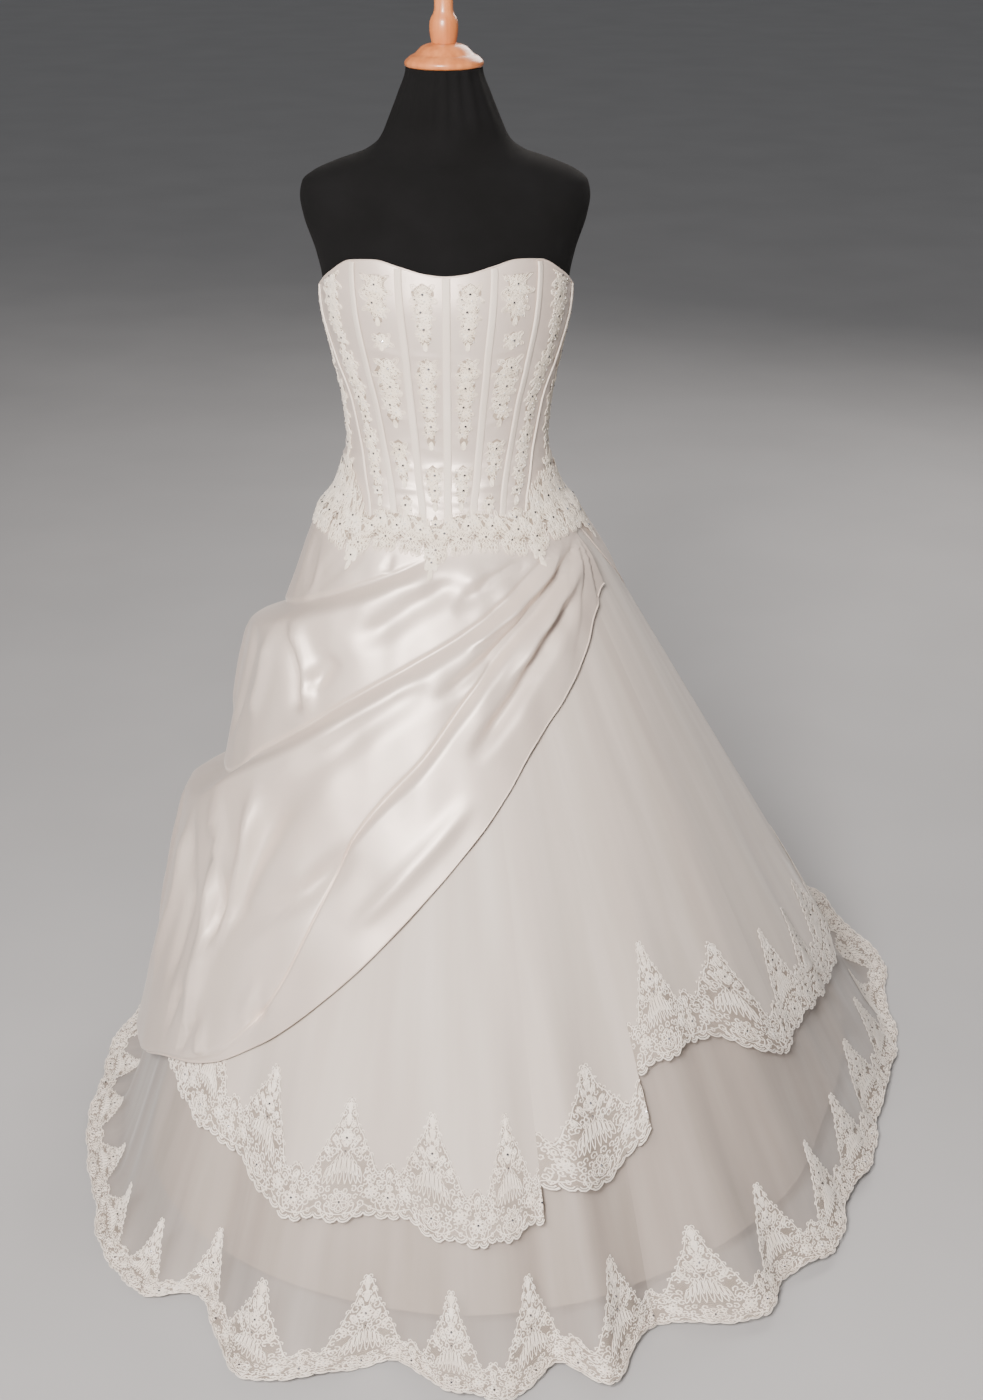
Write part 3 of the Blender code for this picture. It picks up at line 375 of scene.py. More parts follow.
class Look:
    """A material, with short ways to feed its shader."""

    def __init__(self, name, **values):
        self.material = bpy.data.materials.new(name)
        self.material.use_nodes = True
        self.nodes = self.material.node_tree.nodes
        self.link = self.material.node_tree.links.new
        self.shader = self.nodes["Principled BSDF"]
        place = self.nodes.new("ShaderNodeTexCoord")
        self.solid = place.outputs["Object"]
        self.cloth = place.outputs["UV"]
        self.set(self.shader, values)

    def set(self, made, values):
        """Plain values of a node's sockets. An underscore in a name stands for a space."""
        for key, value in values.items():
            made.inputs[key.replace("_", " ")].default_value = value

    def feed(self, socket, output):
        self.link(output, self.shader.inputs[socket])

    def noise(self, vector, scale, detail=3.0, stretch=None):
        if stretch:
            mapping = self.nodes.new("ShaderNodeMapping")
            self.set(mapping, {"Scale": stretch})
            self.link(vector, mapping.inputs["Vector"])
            vector = mapping.outputs["Vector"]
        made = self.nodes.new("ShaderNodeTexNoise")
        self.set(made, {"Scale": scale, "Detail": detail})
        self.link(vector, made.inputs["Vector"])
        return made.outputs["Fac"]

    def tones(self, factor, dark, light):
        """Base colour between two tones."""
        ramp = self.nodes.new("ShaderNodeValToRGB")
        for element, position, colour in zip(ramp.color_ramp.elements, (0.3, 0.7), (dark, light)):
            element.position = position
            element.color = (*colour, 1)
        self.link(factor, ramp.inputs["Fac"])
        self.feed("Base Color", ramp.outputs["Color"])

    def ranged(self, socket, value, **limits):
        """Feeds a socket with a value that is moved to other limits."""
        made = self.nodes.new("ShaderNodeMapRange")
        self.set(made, limits)
        self.link(value, made.inputs["Value"])
        self.feed(socket, made.outputs["Result"])

    def weave(self, thread):
        """Crossing threads of a plain weave, from 0 to 1. thread is their spacing in metres."""
        joined = self.nodes.new("ShaderNodeMath")
        joined.operation = "MULTIPLY"
        for k, direction in enumerate("XY"):
            band = self.nodes.new("ShaderNodeTexWave")
            band.wave_type = "BANDS"
            band.bands_direction = direction
            self.set(band, {"Scale": 0.314 / thread, "Distortion": 0.4})
            self.link(self.cloth, band.inputs["Vector"])
            self.link(band.outputs["Fac"], joined.inputs[k])
        return joined.outputs["Value"]

    def bumps(self, *layers):
        """Bump layers from the finest up, each (height, distance, strength)."""
        normal = None
        for height, distance, strength in layers:
            made = self.nodes.new("ShaderNodeBump")
            self.set(made, {"Strength": strength, "Distance": distance})
            self.link(height, made.inputs["Height"])
            if normal:
                self.link(normal, made.inputs["Normal"])
            normal = made.outputs["Normal"]
        self.feed("Normal", normal)


def satin_material():
    """Heavy ivory satin: smooth float face, broad soft gloss, a little unevenness."""
    look = Look("ivory_satin", Specular_IOR_Level=0.9, Metallic=0.34, Sheen_Weight=0.18, Sheen_Roughness=0.35)
    look.tones(look.noise(look.solid, 5.0), (0.74, 0.620, 0.545), (0.81, 0.700, 0.625))
    slubs = look.noise(look.cloth, 1.0, stretch=(40, 900, 1))
    look.ranged("Roughness", slubs, To_Min=0.42, To_Max=0.50)
    look.bumps((look.weave(0.0006), 0.00004, 0.5), (look.noise(look.solid, 26.0, 2.0), 0.0012, 0.35))
    return look.material


def organza_material(name, alpha, dark, light):
    """Sheer crisp organza, whose fine threads show as faint vertical lines."""
    look = Look(name, Roughness=0.55, Sheen_Weight=0.35, Sheen_Roughness=0.45)
    streaks = look.noise(look.cloth, 1.0, stretch=(24, 2, 1))
    look.tones(streaks, dark, light)
    look.ranged("Alpha", streaks, From_Min=0.3, From_Max=0.7, To_Min=alpha - 0.03, To_Max=alpha + 0.03)
    crumple = look.noise(look.cloth, 1.0, stretch=(9, 3, 1))
    look.bumps((look.weave(0.0005), 0.00004, 0.6), (crumple, 0.006, 0.40))
    return look.material


def matt_material(name, dark, light, thread, roughness=0.8, sheen=0.2, scale=9.0, depth=0.00015):
    """Matt woven or knitted cloth with a soft variation of tone."""
    look = Look(name, Roughness=roughness, Specular_IOR_Level=0.25, Sheen_Weight=sheen, Sheen_Roughness=0.5)
    look.tones(look.noise(look.solid, scale), dark, light)
    look.bumps((look.weave(thread), depth, 0.7))
    return look.material


def cord_material(name, dark, light):
    """Twisted cord and satin stitch of the lace, over its cloth-work."""
    look = Look(name, Roughness=0.62, Sheen_Weight=0.25)
    look.tones(look.noise(look.solid, 55.0), dark, light)
    look.bumps((look.noise(look.solid, 900.0, 1.0), 0.0003, 0.6))
    return look.material


def net_material():
    """Fine tulle net: thin threads round small open cells, painted a dark brown-beige as painted shade
    between the border's cords.
    """
    look = Look("tulle_net_painted_shade", Roughness=0.7)
    look.tones(look.noise(look.solid, 35.0), (0.34, 0.280, 0.235), (0.48, 0.410, 0.350))
    cells = look.nodes.new("ShaderNodeTexVoronoi")
    cells.feature = "DISTANCE_TO_EDGE"
    look.set(cells, {"Scale": 620.0, "Randomness": 0.35})
    look.link(look.cloth, cells.inputs["Vector"])
    look.ranged("Alpha", cells.outputs["Distance"], From_Min=0.08, From_Max=0.24, To_Min=0.95, To_Max=0.38)
    return look.material


def wood_material():
    """Turned beech under clear varnish, with its grain along the axis."""
    look = Look("turned_beech", Roughness=0.36, Coat_Weight=0.25, Coat_Roughness=0.18)
    grain = look.noise(look.solid, 1.0, 5.0, stretch=(90, 90, 9))
    look.tones(grain, (0.50, 0.150, 0.045), (0.68, 0.245, 0.085))
    look.bumps((grain, 0.0003, 0.35))
    return look.material


def metal_material():
    """Dark grey paint on the stand, slightly orange-peeled."""
    look = Look("painted_steel", Roughness=0.42)
    look.tones(look.noise(look.solid, 30.0), (0.045, 0.045, 0.048), (0.075, 0.075, 0.08))
    look.bumps((look.noise(look.solid, 420.0), 0.0002, 0.4))
    return look.material


def bead_material(name, colour, roughness, metallic):
    look = Look(name, Roughness=roughness, Metallic=metallic, Coat_Weight=0.6)
    look.tones(look.noise(look.solid, 300.0), tuple(0.8 * part for part in colour), colour)
    return look.material


SATIN = satin_material()
CHANNEL_SATIN = matt_material("channel_satin", (0.82, 0.715, 0.620), (0.88, 0.790, 0.700), 0.0006, 0.5, 0.15)
UPPER_ORGANZA = organza_material("organza_upper", 0.74, (0.73, 0.635, 0.565), (0.80, 0.710, 0.640))
# Painted shade: the lower tier's organza is painted darker than the upper tier's, for light that falls off
# towards the floor and the darker inside that shows through the single layer. Its lower alpha is its real
# sheerness.
LOWER_ORGANZA_PAINTED_SHADE = organza_material("organza_lower_painted_shade", 0.58, (0.46, 0.402, 0.365), (0.55, 0.485, 0.442))
# The lining's warm ivory is painted darker, as painted shade low in the skirt and inside the organza.
LINING = matt_material("ivory_lining_painted_shade", (0.53, 0.430, 0.350), (0.61, 0.505, 0.420), 0.0006, 0.6, 0.2)
BODICE_LACE = cord_material("lace_cream_white", (0.84, 0.740, 0.610), (0.94, 0.860, 0.750))
# Painted shade: a dark brown-beige for the ground under the sprays, standing for shade between the cords, not
# the lace's own cream.
LACE_GROUND_PAINTED_SHADE = cord_material("lace_ground_painted_shade", (0.30, 0.235, 0.180), (0.44, 0.355, 0.285))
LACE = cord_material("lace_white", (0.80, 0.715, 0.630), (0.90, 0.835, 0.765))
# The net's dark tone is painted shade between the cords of the borders.
NET = net_material()
JERSEY = matt_material("black_jersey", (0.0018, 0.0018, 0.002), (0.0035, 0.0035, 0.004), 0.0011, 0.95, 0.0,
                       16.0, 0.0003)
WOOD = wood_material()
METAL = metal_material()
PEARL = bead_material("pearl", (0.86, 0.83, 0.79), 0.16, 0.0)
CRYSTAL = bead_material("crystal", (0.42, 0.42, 0.45), 0.07, 1.0)


# Lace drawn flat, in millimetres


class Drawing:
    """Cords as ridges, the cloth-work that they outline, and beads, all drawn flat."""

    def __init__(self, fineness=1.0):
        self.fineness = fineness
        self.points = []
        self.faces = []
        self.beads = []
        # Faces of the ground patches, which are coloured dark as painted shade between the cords.
        self.ground = []

    def cord(self, path, width=1.5, height=0.9, base=0.25):
        """A ridge along a path."""
        path = np.asarray(path, float)
        ahead = np.gradient(path, axis=0)
        length = np.hypot(ahead[:, 0], ahead[:, 1])
        ahead /= np.maximum(length, 1e-6)[:, None]
        across = np.stack([-ahead[:, 1], ahead[:, 0]], -1) * width * self.fineness / 2
        start = len(self.points)
        for point, side in zip(path, across):
            self.points.append((point[0] + side[0], point[1] + side[1], base))
            self.points.append((point[0], point[1], base + height))
            self.points.append((point[0] - side[0], point[1] - side[1], base))
        for i in range(len(path) - 1):
            first = start + 3 * i
            for j in (0, 1):
                self.faces.append([first + j, first + j + 1, first + j + 4, first + j + 3])

    def patch(self, outline, rise=0.5, base=0.2):
        """Cloth-work inside an outline, slightly domed."""
        outline = np.asarray(outline, float)
        centre = outline.mean(axis=0)
        start = len(self.points)
        self.points.append((centre[0], centre[1], base + rise))
        self.points.extend((x, y, base) for x, y in outline)
        count = len(outline)
        for i in range(count):
            self.faces.append([start, start + 1 + i, start + 1 + (i + 1) % count])

    def strip(self, heights, reach, base=0.05):
        """The ground of a spray, as wide as reach(y) on either side of its middle. It takes a dark tone that
        is painted shade between the cords.
        """
        start = len(self.points)
        for y in heights:
            self.points += [(share * reach(y), y, base) for share in (-1, -0.5, 0, 0.5, 1)]
        for i in range(len(heights) - 1):
            for j in range(4):
                first = start + 5 * i + j
                self.ground.append(len(self.faces))
                self.faces.append([first, first + 1, first + 6, first + 5])

    def petal(self, x, y, length, width, turn, cord=1.5, steps=4, filled=True):
        """A rounded petal or leaf with its point at x, y, and a second cord inside its edge."""
        t = np.linspace(0, 2 * math.pi, 2 * steps + 1)
        along = length * (0.5 - 0.5 * np.cos(t))
        across = width / 2 * np.sin(t) * (0.55 + 0.45 * (0.5 - 0.5 * np.cos(t)))
        heading = math.radians(turn)
        for size, shift in ((1.0, 0.0), (0.5, 0.34)):
            reach = shift * length + size * along
            side = size * across
            px = x + reach * math.cos(heading) - side * math.sin(heading)
            py = y + reach * math.sin(heading) + side * math.cos(heading)
            path = np.stack([px, py], -1)
            if filled and size == 1.0:
                self.patch(path[:-1], 0.3)
            self.cord(path, cord, 1.1 if size == 1.0 else 0.9)

    def flower(self, x, y, radius, petals=5, turn=90.0, bead="crystal", filled=True):
        for k in range(petals):
            self.petal(x, y, radius, radius * 1.05, turn + 360 * k / petals, filled=filled)
        ring = np.linspace(0, 2 * math.pi, 7)
        self.cord(np.stack([x + 0.2 * radius * np.cos(ring), y + 0.2 * radius * np.sin(ring)], -1), 1.4, 1.4)
        if bead:
            self.beads.append((x, y, 2.2 if bead == "crystal" else 1.5, bead))

    def leaf(self, x, y, length, width, turn, filled=True):
        self.petal(x, y, length, width, turn, 1.4, filled=filled)

    def scroll(self, x, y, outer, inner, start, sweep, width=1.6):
        """A spiral from an outer to an inner radius about x, y."""
        steps = max(5, int(abs(sweep) / 48))
        turns = np.radians(np.linspace(start, start + sweep, steps))
        radii = np.linspace(outer, inner, steps)
        self.cord(np.stack([x + radii * np.cos(turns), y + radii * np.sin(turns)], -1), width, 1.1)

    def curls(self, seed, spacing, left, right, bottom, top, keep, width=1.6):
        """Small uneven curls that fill what keep(x, y) allows."""
        chance = np.random.default_rng(seed)
        rows = int((top - bottom) / (spacing * 0.87)) + 1
        for j in range(rows):
            for i in range(int((right - left) / spacing) + 1):
                x = left + (i + 0.5 * (j % 2)) * spacing + chance.uniform(-1, 1) * 0.18 * spacing
                y = bottom + j * 0.87 * spacing + chance.uniform(-1, 1) * 0.18 * spacing
                start = chance.uniform(0, 360)
                sweep = chance.choice([-1, 1]) * chance.uniform(300, 430)
                size = spacing * chance.uniform(0.42, 0.58)
                if keep(x, y):
                    self.scroll(x, y, size, size * 0.3, start, sweep, width)

    def mirrored(self):
        """Adds the same drawing on the other side of x = 0."""
        start = len(self.points)
        self.points += [(-x, y, out) for x, y, out in self.points]
        self.faces += [[start + k for k in reversed(face)] for face in self.faces]
        self.beads += [(-x, y, radius, kind) for x, y, radius, kind in self.beads if abs(x) > 0.5]
        return self


def lace_foot(x):
    """How far the scalloped foot rises between its two scallops in each repeat, in millimetres."""
    place = np.abs(x) / (CELL_WIDTH / 2)
    return 1000 * SCALLOP_DEPTH * (1 - np.abs(1 - 2 * place)) ** 2


def draw_border_repeat(seed):
    """One repeat of the border: a tall plume of leaves and scrolls over two scallops."""
    half = Drawing()
    edge = np.linspace(0, CELL_WIDTH / 2, 25)
    half.cord(np.stack([edge, lace_foot(edge) + 7.5], -1), 1.6, 1.1)
    for k in range(4):
        x = (k + 0.5) * CELL_WIDTH / 8
        y = float(lace_foot(x)) + 6.5
        for reach, width in ((10.2, 2.4), (7.0, 1.8)):
            half.scroll(x, y, reach, reach, 207, 126, width)
        half.scroll(x, y, 3.4, 1.6, 40, 380, 1.6)
    for reach in (15, 21, 27):
        half.scroll(0, 22, reach, reach, -64, 62, 1.7)
    for reach in (13, 19):
        half.scroll(CELL_WIDTH / 2, 20, reach, reach, 180, 62, 1.6)
    for x, lean, tall in ((4.5, 91, 44), (13, 95, 40), (21, 101, 33), (28, 108, 26)):
        half.leaf(x, 48, tall, 8.5, lean, filled=False)
    half.leaf(8, 94, 22, 8.5, 58, filled=False)
    half.leaf(18, 84, 20, 8, 44, filled=False)
    half.leaf(4, 120, 15, 6.5, 66, filled=False)
    half.flower(44, 36, 10, 5, 100, "pearl", filled=False)
    half.scroll(36, 58, 9, 3, -60, 420)
    half.scroll(54, 50, 8, 2.5, 200, -400)

    def free(x, y):
        top = float(read(LACE_TOP, "top", x))
        in_plume = x < 30 and 46 < y < 92 - 0.6 * x
        in_flower = math.hypot(x - 44, y - 36) < 10 or math.hypot(x, y - 24) < 13
        in_end = math.hypot(x - CELL_WIDTH / 2, y - 26) < 11
        return 12 + float(lace_foot(x)) < y < top - 5 and not (in_plume or in_flower or in_end)

    half.curls(seed, 10.0, 3, CELL_WIDTH / 2 - 1, 14, 160, free, 2.0)
    outline = np.linspace(0.5, CELL_WIDTH / 2, 26)
    half.cord(np.stack([outline, read(LACE_TOP, "top", outline) - 3.0], -1), 1.6, 1.1)
    for x in (3.2, 7.5, 11.5, 17, 23, 28.5, 33.5, 40, 47, 54, 60, 66):
        half.scroll(x, float(read(LACE_TOP, "top", x)) - 1.8, 3.2, 3.0, -30, 240, 1.6)
    whole = half.mirrored()
    whole.flower(0, 24, 14, 6, 90, filled=False)
    whole.flower(0, 110, 10, 5, 90, filled=False)
    whole.petal(0, 126, 17, 10, 90)
    whole.petal(0, 142, 17, 8, 90)
    whole.flower(CELL_WIDTH / 2 - 1, 26, 11, 5, 90, filled=False)
    whole.leaf(CELL_WIDTH / 2 - 1, 38, 26, 10, 90, filled=False)
    whole.beads += [(22, 60, 1.2, "pearl"), (-22, 60, 1.2, "pearl"), (0, 92, 1.5, "crystal"),
                    (52, 62, 1.2, "pearl"), (-52, 62, 1.2, "pearl")]
    return whole


BEADS = {"pearl": [], "crystal": []}


def lay_drawings(name, drawings, material, repeats, replaced=None):
    """Lays flat drawings on cloth. repeats holds (drawing number, place), where place(x, y, out)
    gives points in metres for x, y and out in millimetres."""
    points = []
    faces = []
    ground = []
    count = 0
    for number, place in repeats:
        drawing = drawings[number]
        ground.extend(len(faces) + face for face in drawing.ground)
        flat = np.array(drawing.points)
        points.append(place(flat[:, 0], flat[:, 1], flat[:, 2]))
        faces.extend([count + k for k in face] for face in drawing.faces)
        count += len(flat)
        for x, y, radius, kind in drawing.beads:
            spot, above = place(np.array([x, x]), np.array([y, y]), np.array([0.8, 1.8]))
            BEADS[kind].append((spot, (above - spot) / MM, radius * MM))
    piece = add_mesh(name, np.concatenate(points), faces, material, replaced)
    # The ground faces take the dark ground material, painted shade between the cords.
    if ground:
        piece.data.materials.append(LACE_GROUND_PAINTED_SHADE)
        slots = np.zeros(len(faces), dtype=np.int32)
        slots[ground] = 1
        piece.data.polygons.foreach_set("material_index", slots)
    return piece


def build_beads():
    """All pearls and crystals, each kind as one mesh of small balls or cut stones."""
    for kind, material, rings, sides in (("pearl", PEARL, 4, 6), ("crystal", CRYSTAL, 3, 6)):
        points = []
        faces = []
        turns = np.arange(sides) * 2 * math.pi / sides
        for centre, out, radius in BEADS[kind]:
            out = out / np.linalg.norm(out)
            side = np.cross(out, (0, 0, 1))
            side /= np.linalg.norm(side)
            up = np.cross(out, side)
            start = len(points)
            for k in range(1, rings):
                tilt = math.pi * k / rings
                for turn in turns:
                    way = math.sin(tilt) * (math.cos(turn) * side + math.sin(turn) * up)
                    points.append(centre + radius * (way + math.cos(tilt) * out))
            points.append(centre + radius * out)
            points.append(centre - radius * out)
            for k in range(rings - 2):
                for j in range(sides):
                    a, b = start + k * sides + j, start + k * sides + (j + 1) % sides
                    faces.append([a, a + sides, b + sides, b])
            last = start + (rings - 2) * sides
            for j in range(sides):
                faces.append([start + j, start + (j + 1) % sides, len(points) - 2])
                faces.append([last + (j + 1) % sides, last + j, len(points) - 1])
        add_mesh(kind + "_beads", points, faces, material, smooth_shaded=kind == "pearl")


# Skirt shapes


SKIRT_DROP = SKIRT_TOP - FLOOR_LIFT - FLOOR_BEND ** 2 / (4 * SKIRT_TOP)


def skirt_plan(angle):
    """Radius at the waist seam, where the straight side would meet the floor, and at the hem."""
    turn = wrapped(angle)
    waist = oval_radius(BODICE, turn, WAIST_SEAM) - SATIN_OFFSET
    return waist, read(SKIRT_PLAN, "foot", turn), read(SKIRT_PLAN, "hem", turn)


def skirt_profile(angle, fraction):
    """Radius and height of the lower tier's face, from the waist seam (0) to the hem (1)."""
    waist, foot, hem = skirt_plan(angle)
    radius = blend(waist, hem, fraction)
    line = SKIRT_DROP * (1 - (radius - waist) / (foot - waist))
    height = FLOOR_LIFT + (line + np.sqrt(line * line + FLOOR_BEND ** 2)) / 2
    return radius + read(HEM_FOLDS, "swell", wrapped(angle)) * hem_share(fraction), height


def hem_share(fraction):
    """Share of a hem fold's swing: none at mid skirt, all of it at the hem."""
    return np.clip((np.asarray(fraction) - HEM_FOLDS_START) / (1 - HEM_FOLDS_START), 0, None) ** 2


def fraction_at(angle, height):
    """How far down the skirt's side a height lies."""
    waist, foot, hem = skirt_plan(angle)
    above = np.minimum(height, SKIRT_TOP) - FLOOR_LIFT
    line = above - FLOOR_BEND ** 2 / (4 * above)
    return (foot - waist) * (1 - line / SKIRT_DROP) / (hem - waist)


def skirt_point(angle, fraction, out):
    """Points of the skirt, moved out from the lower tier's face by out."""
    radius, height = skirt_profile(angle, fraction)
    lower_radius, lower_height = skirt_profile(angle, np.asarray(fraction) + 0.01)
    steep = np.hypot(height - lower_height, lower_radius - radius)
    share = np.minimum(1.0, 4 * np.asarray(fraction))
    level = blend(1.0, (height - lower_height) / steep, share)
    upward = blend(0.0, (lower_radius - radius) / steep, share)
    size = np.hypot(level, upward)
    return around(angle, radius + level / size * out, height + upward / size * out)


def below_hip(fraction):
    """Share of a fold's depth: none at the hip, all of it at the hem."""
    down = np.maximum(0.0, (np.asarray(fraction) - FOLDS_START) / (1 - FOLDS_START))
    return down ** 1.4


def lower_wave(angle, fraction):
    """Soft upright folds of the lower tier, deeper towards the hem."""
    turn = np.radians(angle)
    swell = np.cos(17 * turn + 1.3 * np.sin(2 * turn) + 0.7 * np.sin(3 * turn + 1))
    depth = LOWER_FOLD_DEPTH * (0.7 + 0.3 * np.sin(5 * turn + 2))
    fine = LOWER_RIPPLE_DEPTH * ripples(np.asarray(angle) / 9, np.asarray(fraction) * 2.5, 4)
    return (depth * (0.5 + 0.5 * swell) + fine) * below_hip(fraction)


def upper_wave(angle, fraction):
    """Folds of the upper tier, pressed flat where the satin lies over them."""
    turn = np.radians(angle)
    swell = np.cos(19 * turn + 1.1 * np.sin(2 * turn + 0.6) + 0.8 * np.sin(5 * turn))
    turn = wrapped(angle)
    free = np.clip(np.minimum((turn + 40) / 30, (125 - turn) / 25), 0.25, 1)
    fine = UPPER_RIPPLE_DEPTH * ripples(np.asarray(angle) / 8, np.asarray(fraction) * 2.2, 9)
    return free * (UPPER_FOLD_DEPTH * (0.5 + 0.5 * swell) + fine) * below_hip(fraction)


def lower_cloth(angle, fraction, out=0.0):
    return skirt_point(angle, fraction, lower_wave(angle, fraction) + out)


def lower_length(angle):
    """Length of the lower tier down its side."""
    radius, _ = skirt_profile(angle, LOWER_HEM)
    waist, top = skirt_profile(angle, 0)
    return np.hypot(radius - waist, top)


def build_lower_tier():
    """Six organza gores to the floor, each with its net and corded border."""
    drawings = [draw_border_repeat(seed) for seed in (1, 2)]
    for lace_name, cells in LOWER_CELLS.items():
        start, end = cells[0], cells[-1]
        angle = np.linspace(start, end, round((end - start) / ORGANZA_STEP) + 1)[:, None]
        fraction = LOWER_HEM * np.concatenate([np.linspace(0, 0.85, 27), np.linspace(0.86, 1, 16)])[None]
        name = lace_name.replace("lace", "skirt")
        cloth_grid(name + "_organza", lower_cloth(angle, fraction), LOWER_ORGANZA_PAINTED_SHADE, name)

        def place(angle, up, out):
            length = lower_length(angle)
            fraction = LOWER_HEM * (1 + (LACE_OVERHANG - up * MM) / length)
            return lower_cloth(angle, fraction, (out + LACE_LIFT) * MM)

        build_border(lace_name, drawings, cells, place)


def build_border(name, drawings, cells, place):
    """The net and the corded motifs of one stretch of border. place(angle, up, out) gives points."""
    start, end = cells[0], cells[-1]
    repeats = []
    columns = []
    for first, last in zip(cells[:-1], cells[1:]):
        def lay(x, y, out, first=first, last=last):
            angle = (first + last) / 2 + x / CELL_WIDTH * (last - first)
            return place(np.clip(angle, start, end), y, out)

        repeats.append((len(repeats) % len(drawings), lay))
        columns.append((np.linspace(-0.5, 0.5, 25)[:-1], first, last))
    lay_drawings(name + "_cords", drawings, LACE, repeats)
    share = np.concatenate([part for part, _, _ in columns] + [[0.5]])
    angle = np.concatenate([blend(first, last, part + 0.5) for part, first, last in columns] + [[end]])
    x = share * CELL_WIDTH
    foot = lace_foot(x)
    top = read(LACE_TOP, "top", np.abs(x))
    up = blend(top[:, None], foot[:, None], np.linspace(0, 1, 8)[None])
    cloth_grid(name + "_net", place(angle[:, None] + 0 * up, up, 0 * up), NET, name)


def build_upper_tier():
    """The shorter organza tier in five stepped panels, each with its border."""
    drawings = [draw_border_repeat(seed) for seed in (3, 4)]
    for lace_name, cells in UPPER_CELLS.items():
        start, end = cells[0], cells[-1]

        def hem_fraction(angle, start=start, end=end):
            inside = np.clip(angle, start + 0.2, end - 0.2)
            return fraction_at(angle, read(UPPER_HEM, "height", wrapped(inside)))

        def cloth(angle, share, out=0.0, hem_fraction=hem_fraction):
            fraction = share * hem_fraction(angle)
            out = out + UPPER_TIER_OFFSET + UPPER_TIER_SPREAD * np.sqrt(fraction)
            return skirt_point(angle, fraction, out + upper_wave(angle, fraction))

        def place(angle, up, out, cloth=cloth, hem_fraction=hem_fraction):
            radius, height = skirt_profile(angle, hem_fraction(angle))
            waist, top = skirt_profile(angle, 0)
            length = np.hypot(radius - waist, top - height)
            return cloth(angle, 1 + (LACE_OVERHANG - up * MM) / length, (out + LACE_LIFT) * MM)

        angle = np.linspace(start, end, round((end - start) / ORGANZA_STEP) + 1)[:, None]
        name = lace_name.replace("lace", "skirt")
        points = cloth(angle, np.linspace(0, 1, 40)[None])
        cloth_grid(name + "_organza", points, UPPER_ORGANZA, name)
        build_border(lace_name, drawings, cells, place)


def build_underskirt():
    """The opaque lining skirt, which hangs clear inside the hem folds and ends above the border."""
    for name, start, end in (("underskirt_front", -90, 90), ("underskirt_back", 90, 270)):
        angle = np.linspace(start, end, 91)[:, None]
        fraction = np.linspace(0, 1, 22)[None] * fraction_at(angle, UNDERSKIRT_FOOT)
        inset = UNDERSKIRT_INSET + UNDERSKIRT_SPREAD * np.sqrt(fraction)
        swing = LINING_CLEAR + read(HEM_FOLDS, "swell", wrapped(angle))
        swing = (swing - 0.006 * ripples(angle / 30, fraction, 3)) * hem_share(fraction)
        points = skirt_point(angle, fraction, -inset) - around(angle, swing, 0)
        cloth_grid(name + "_lining", points, LINING, name)


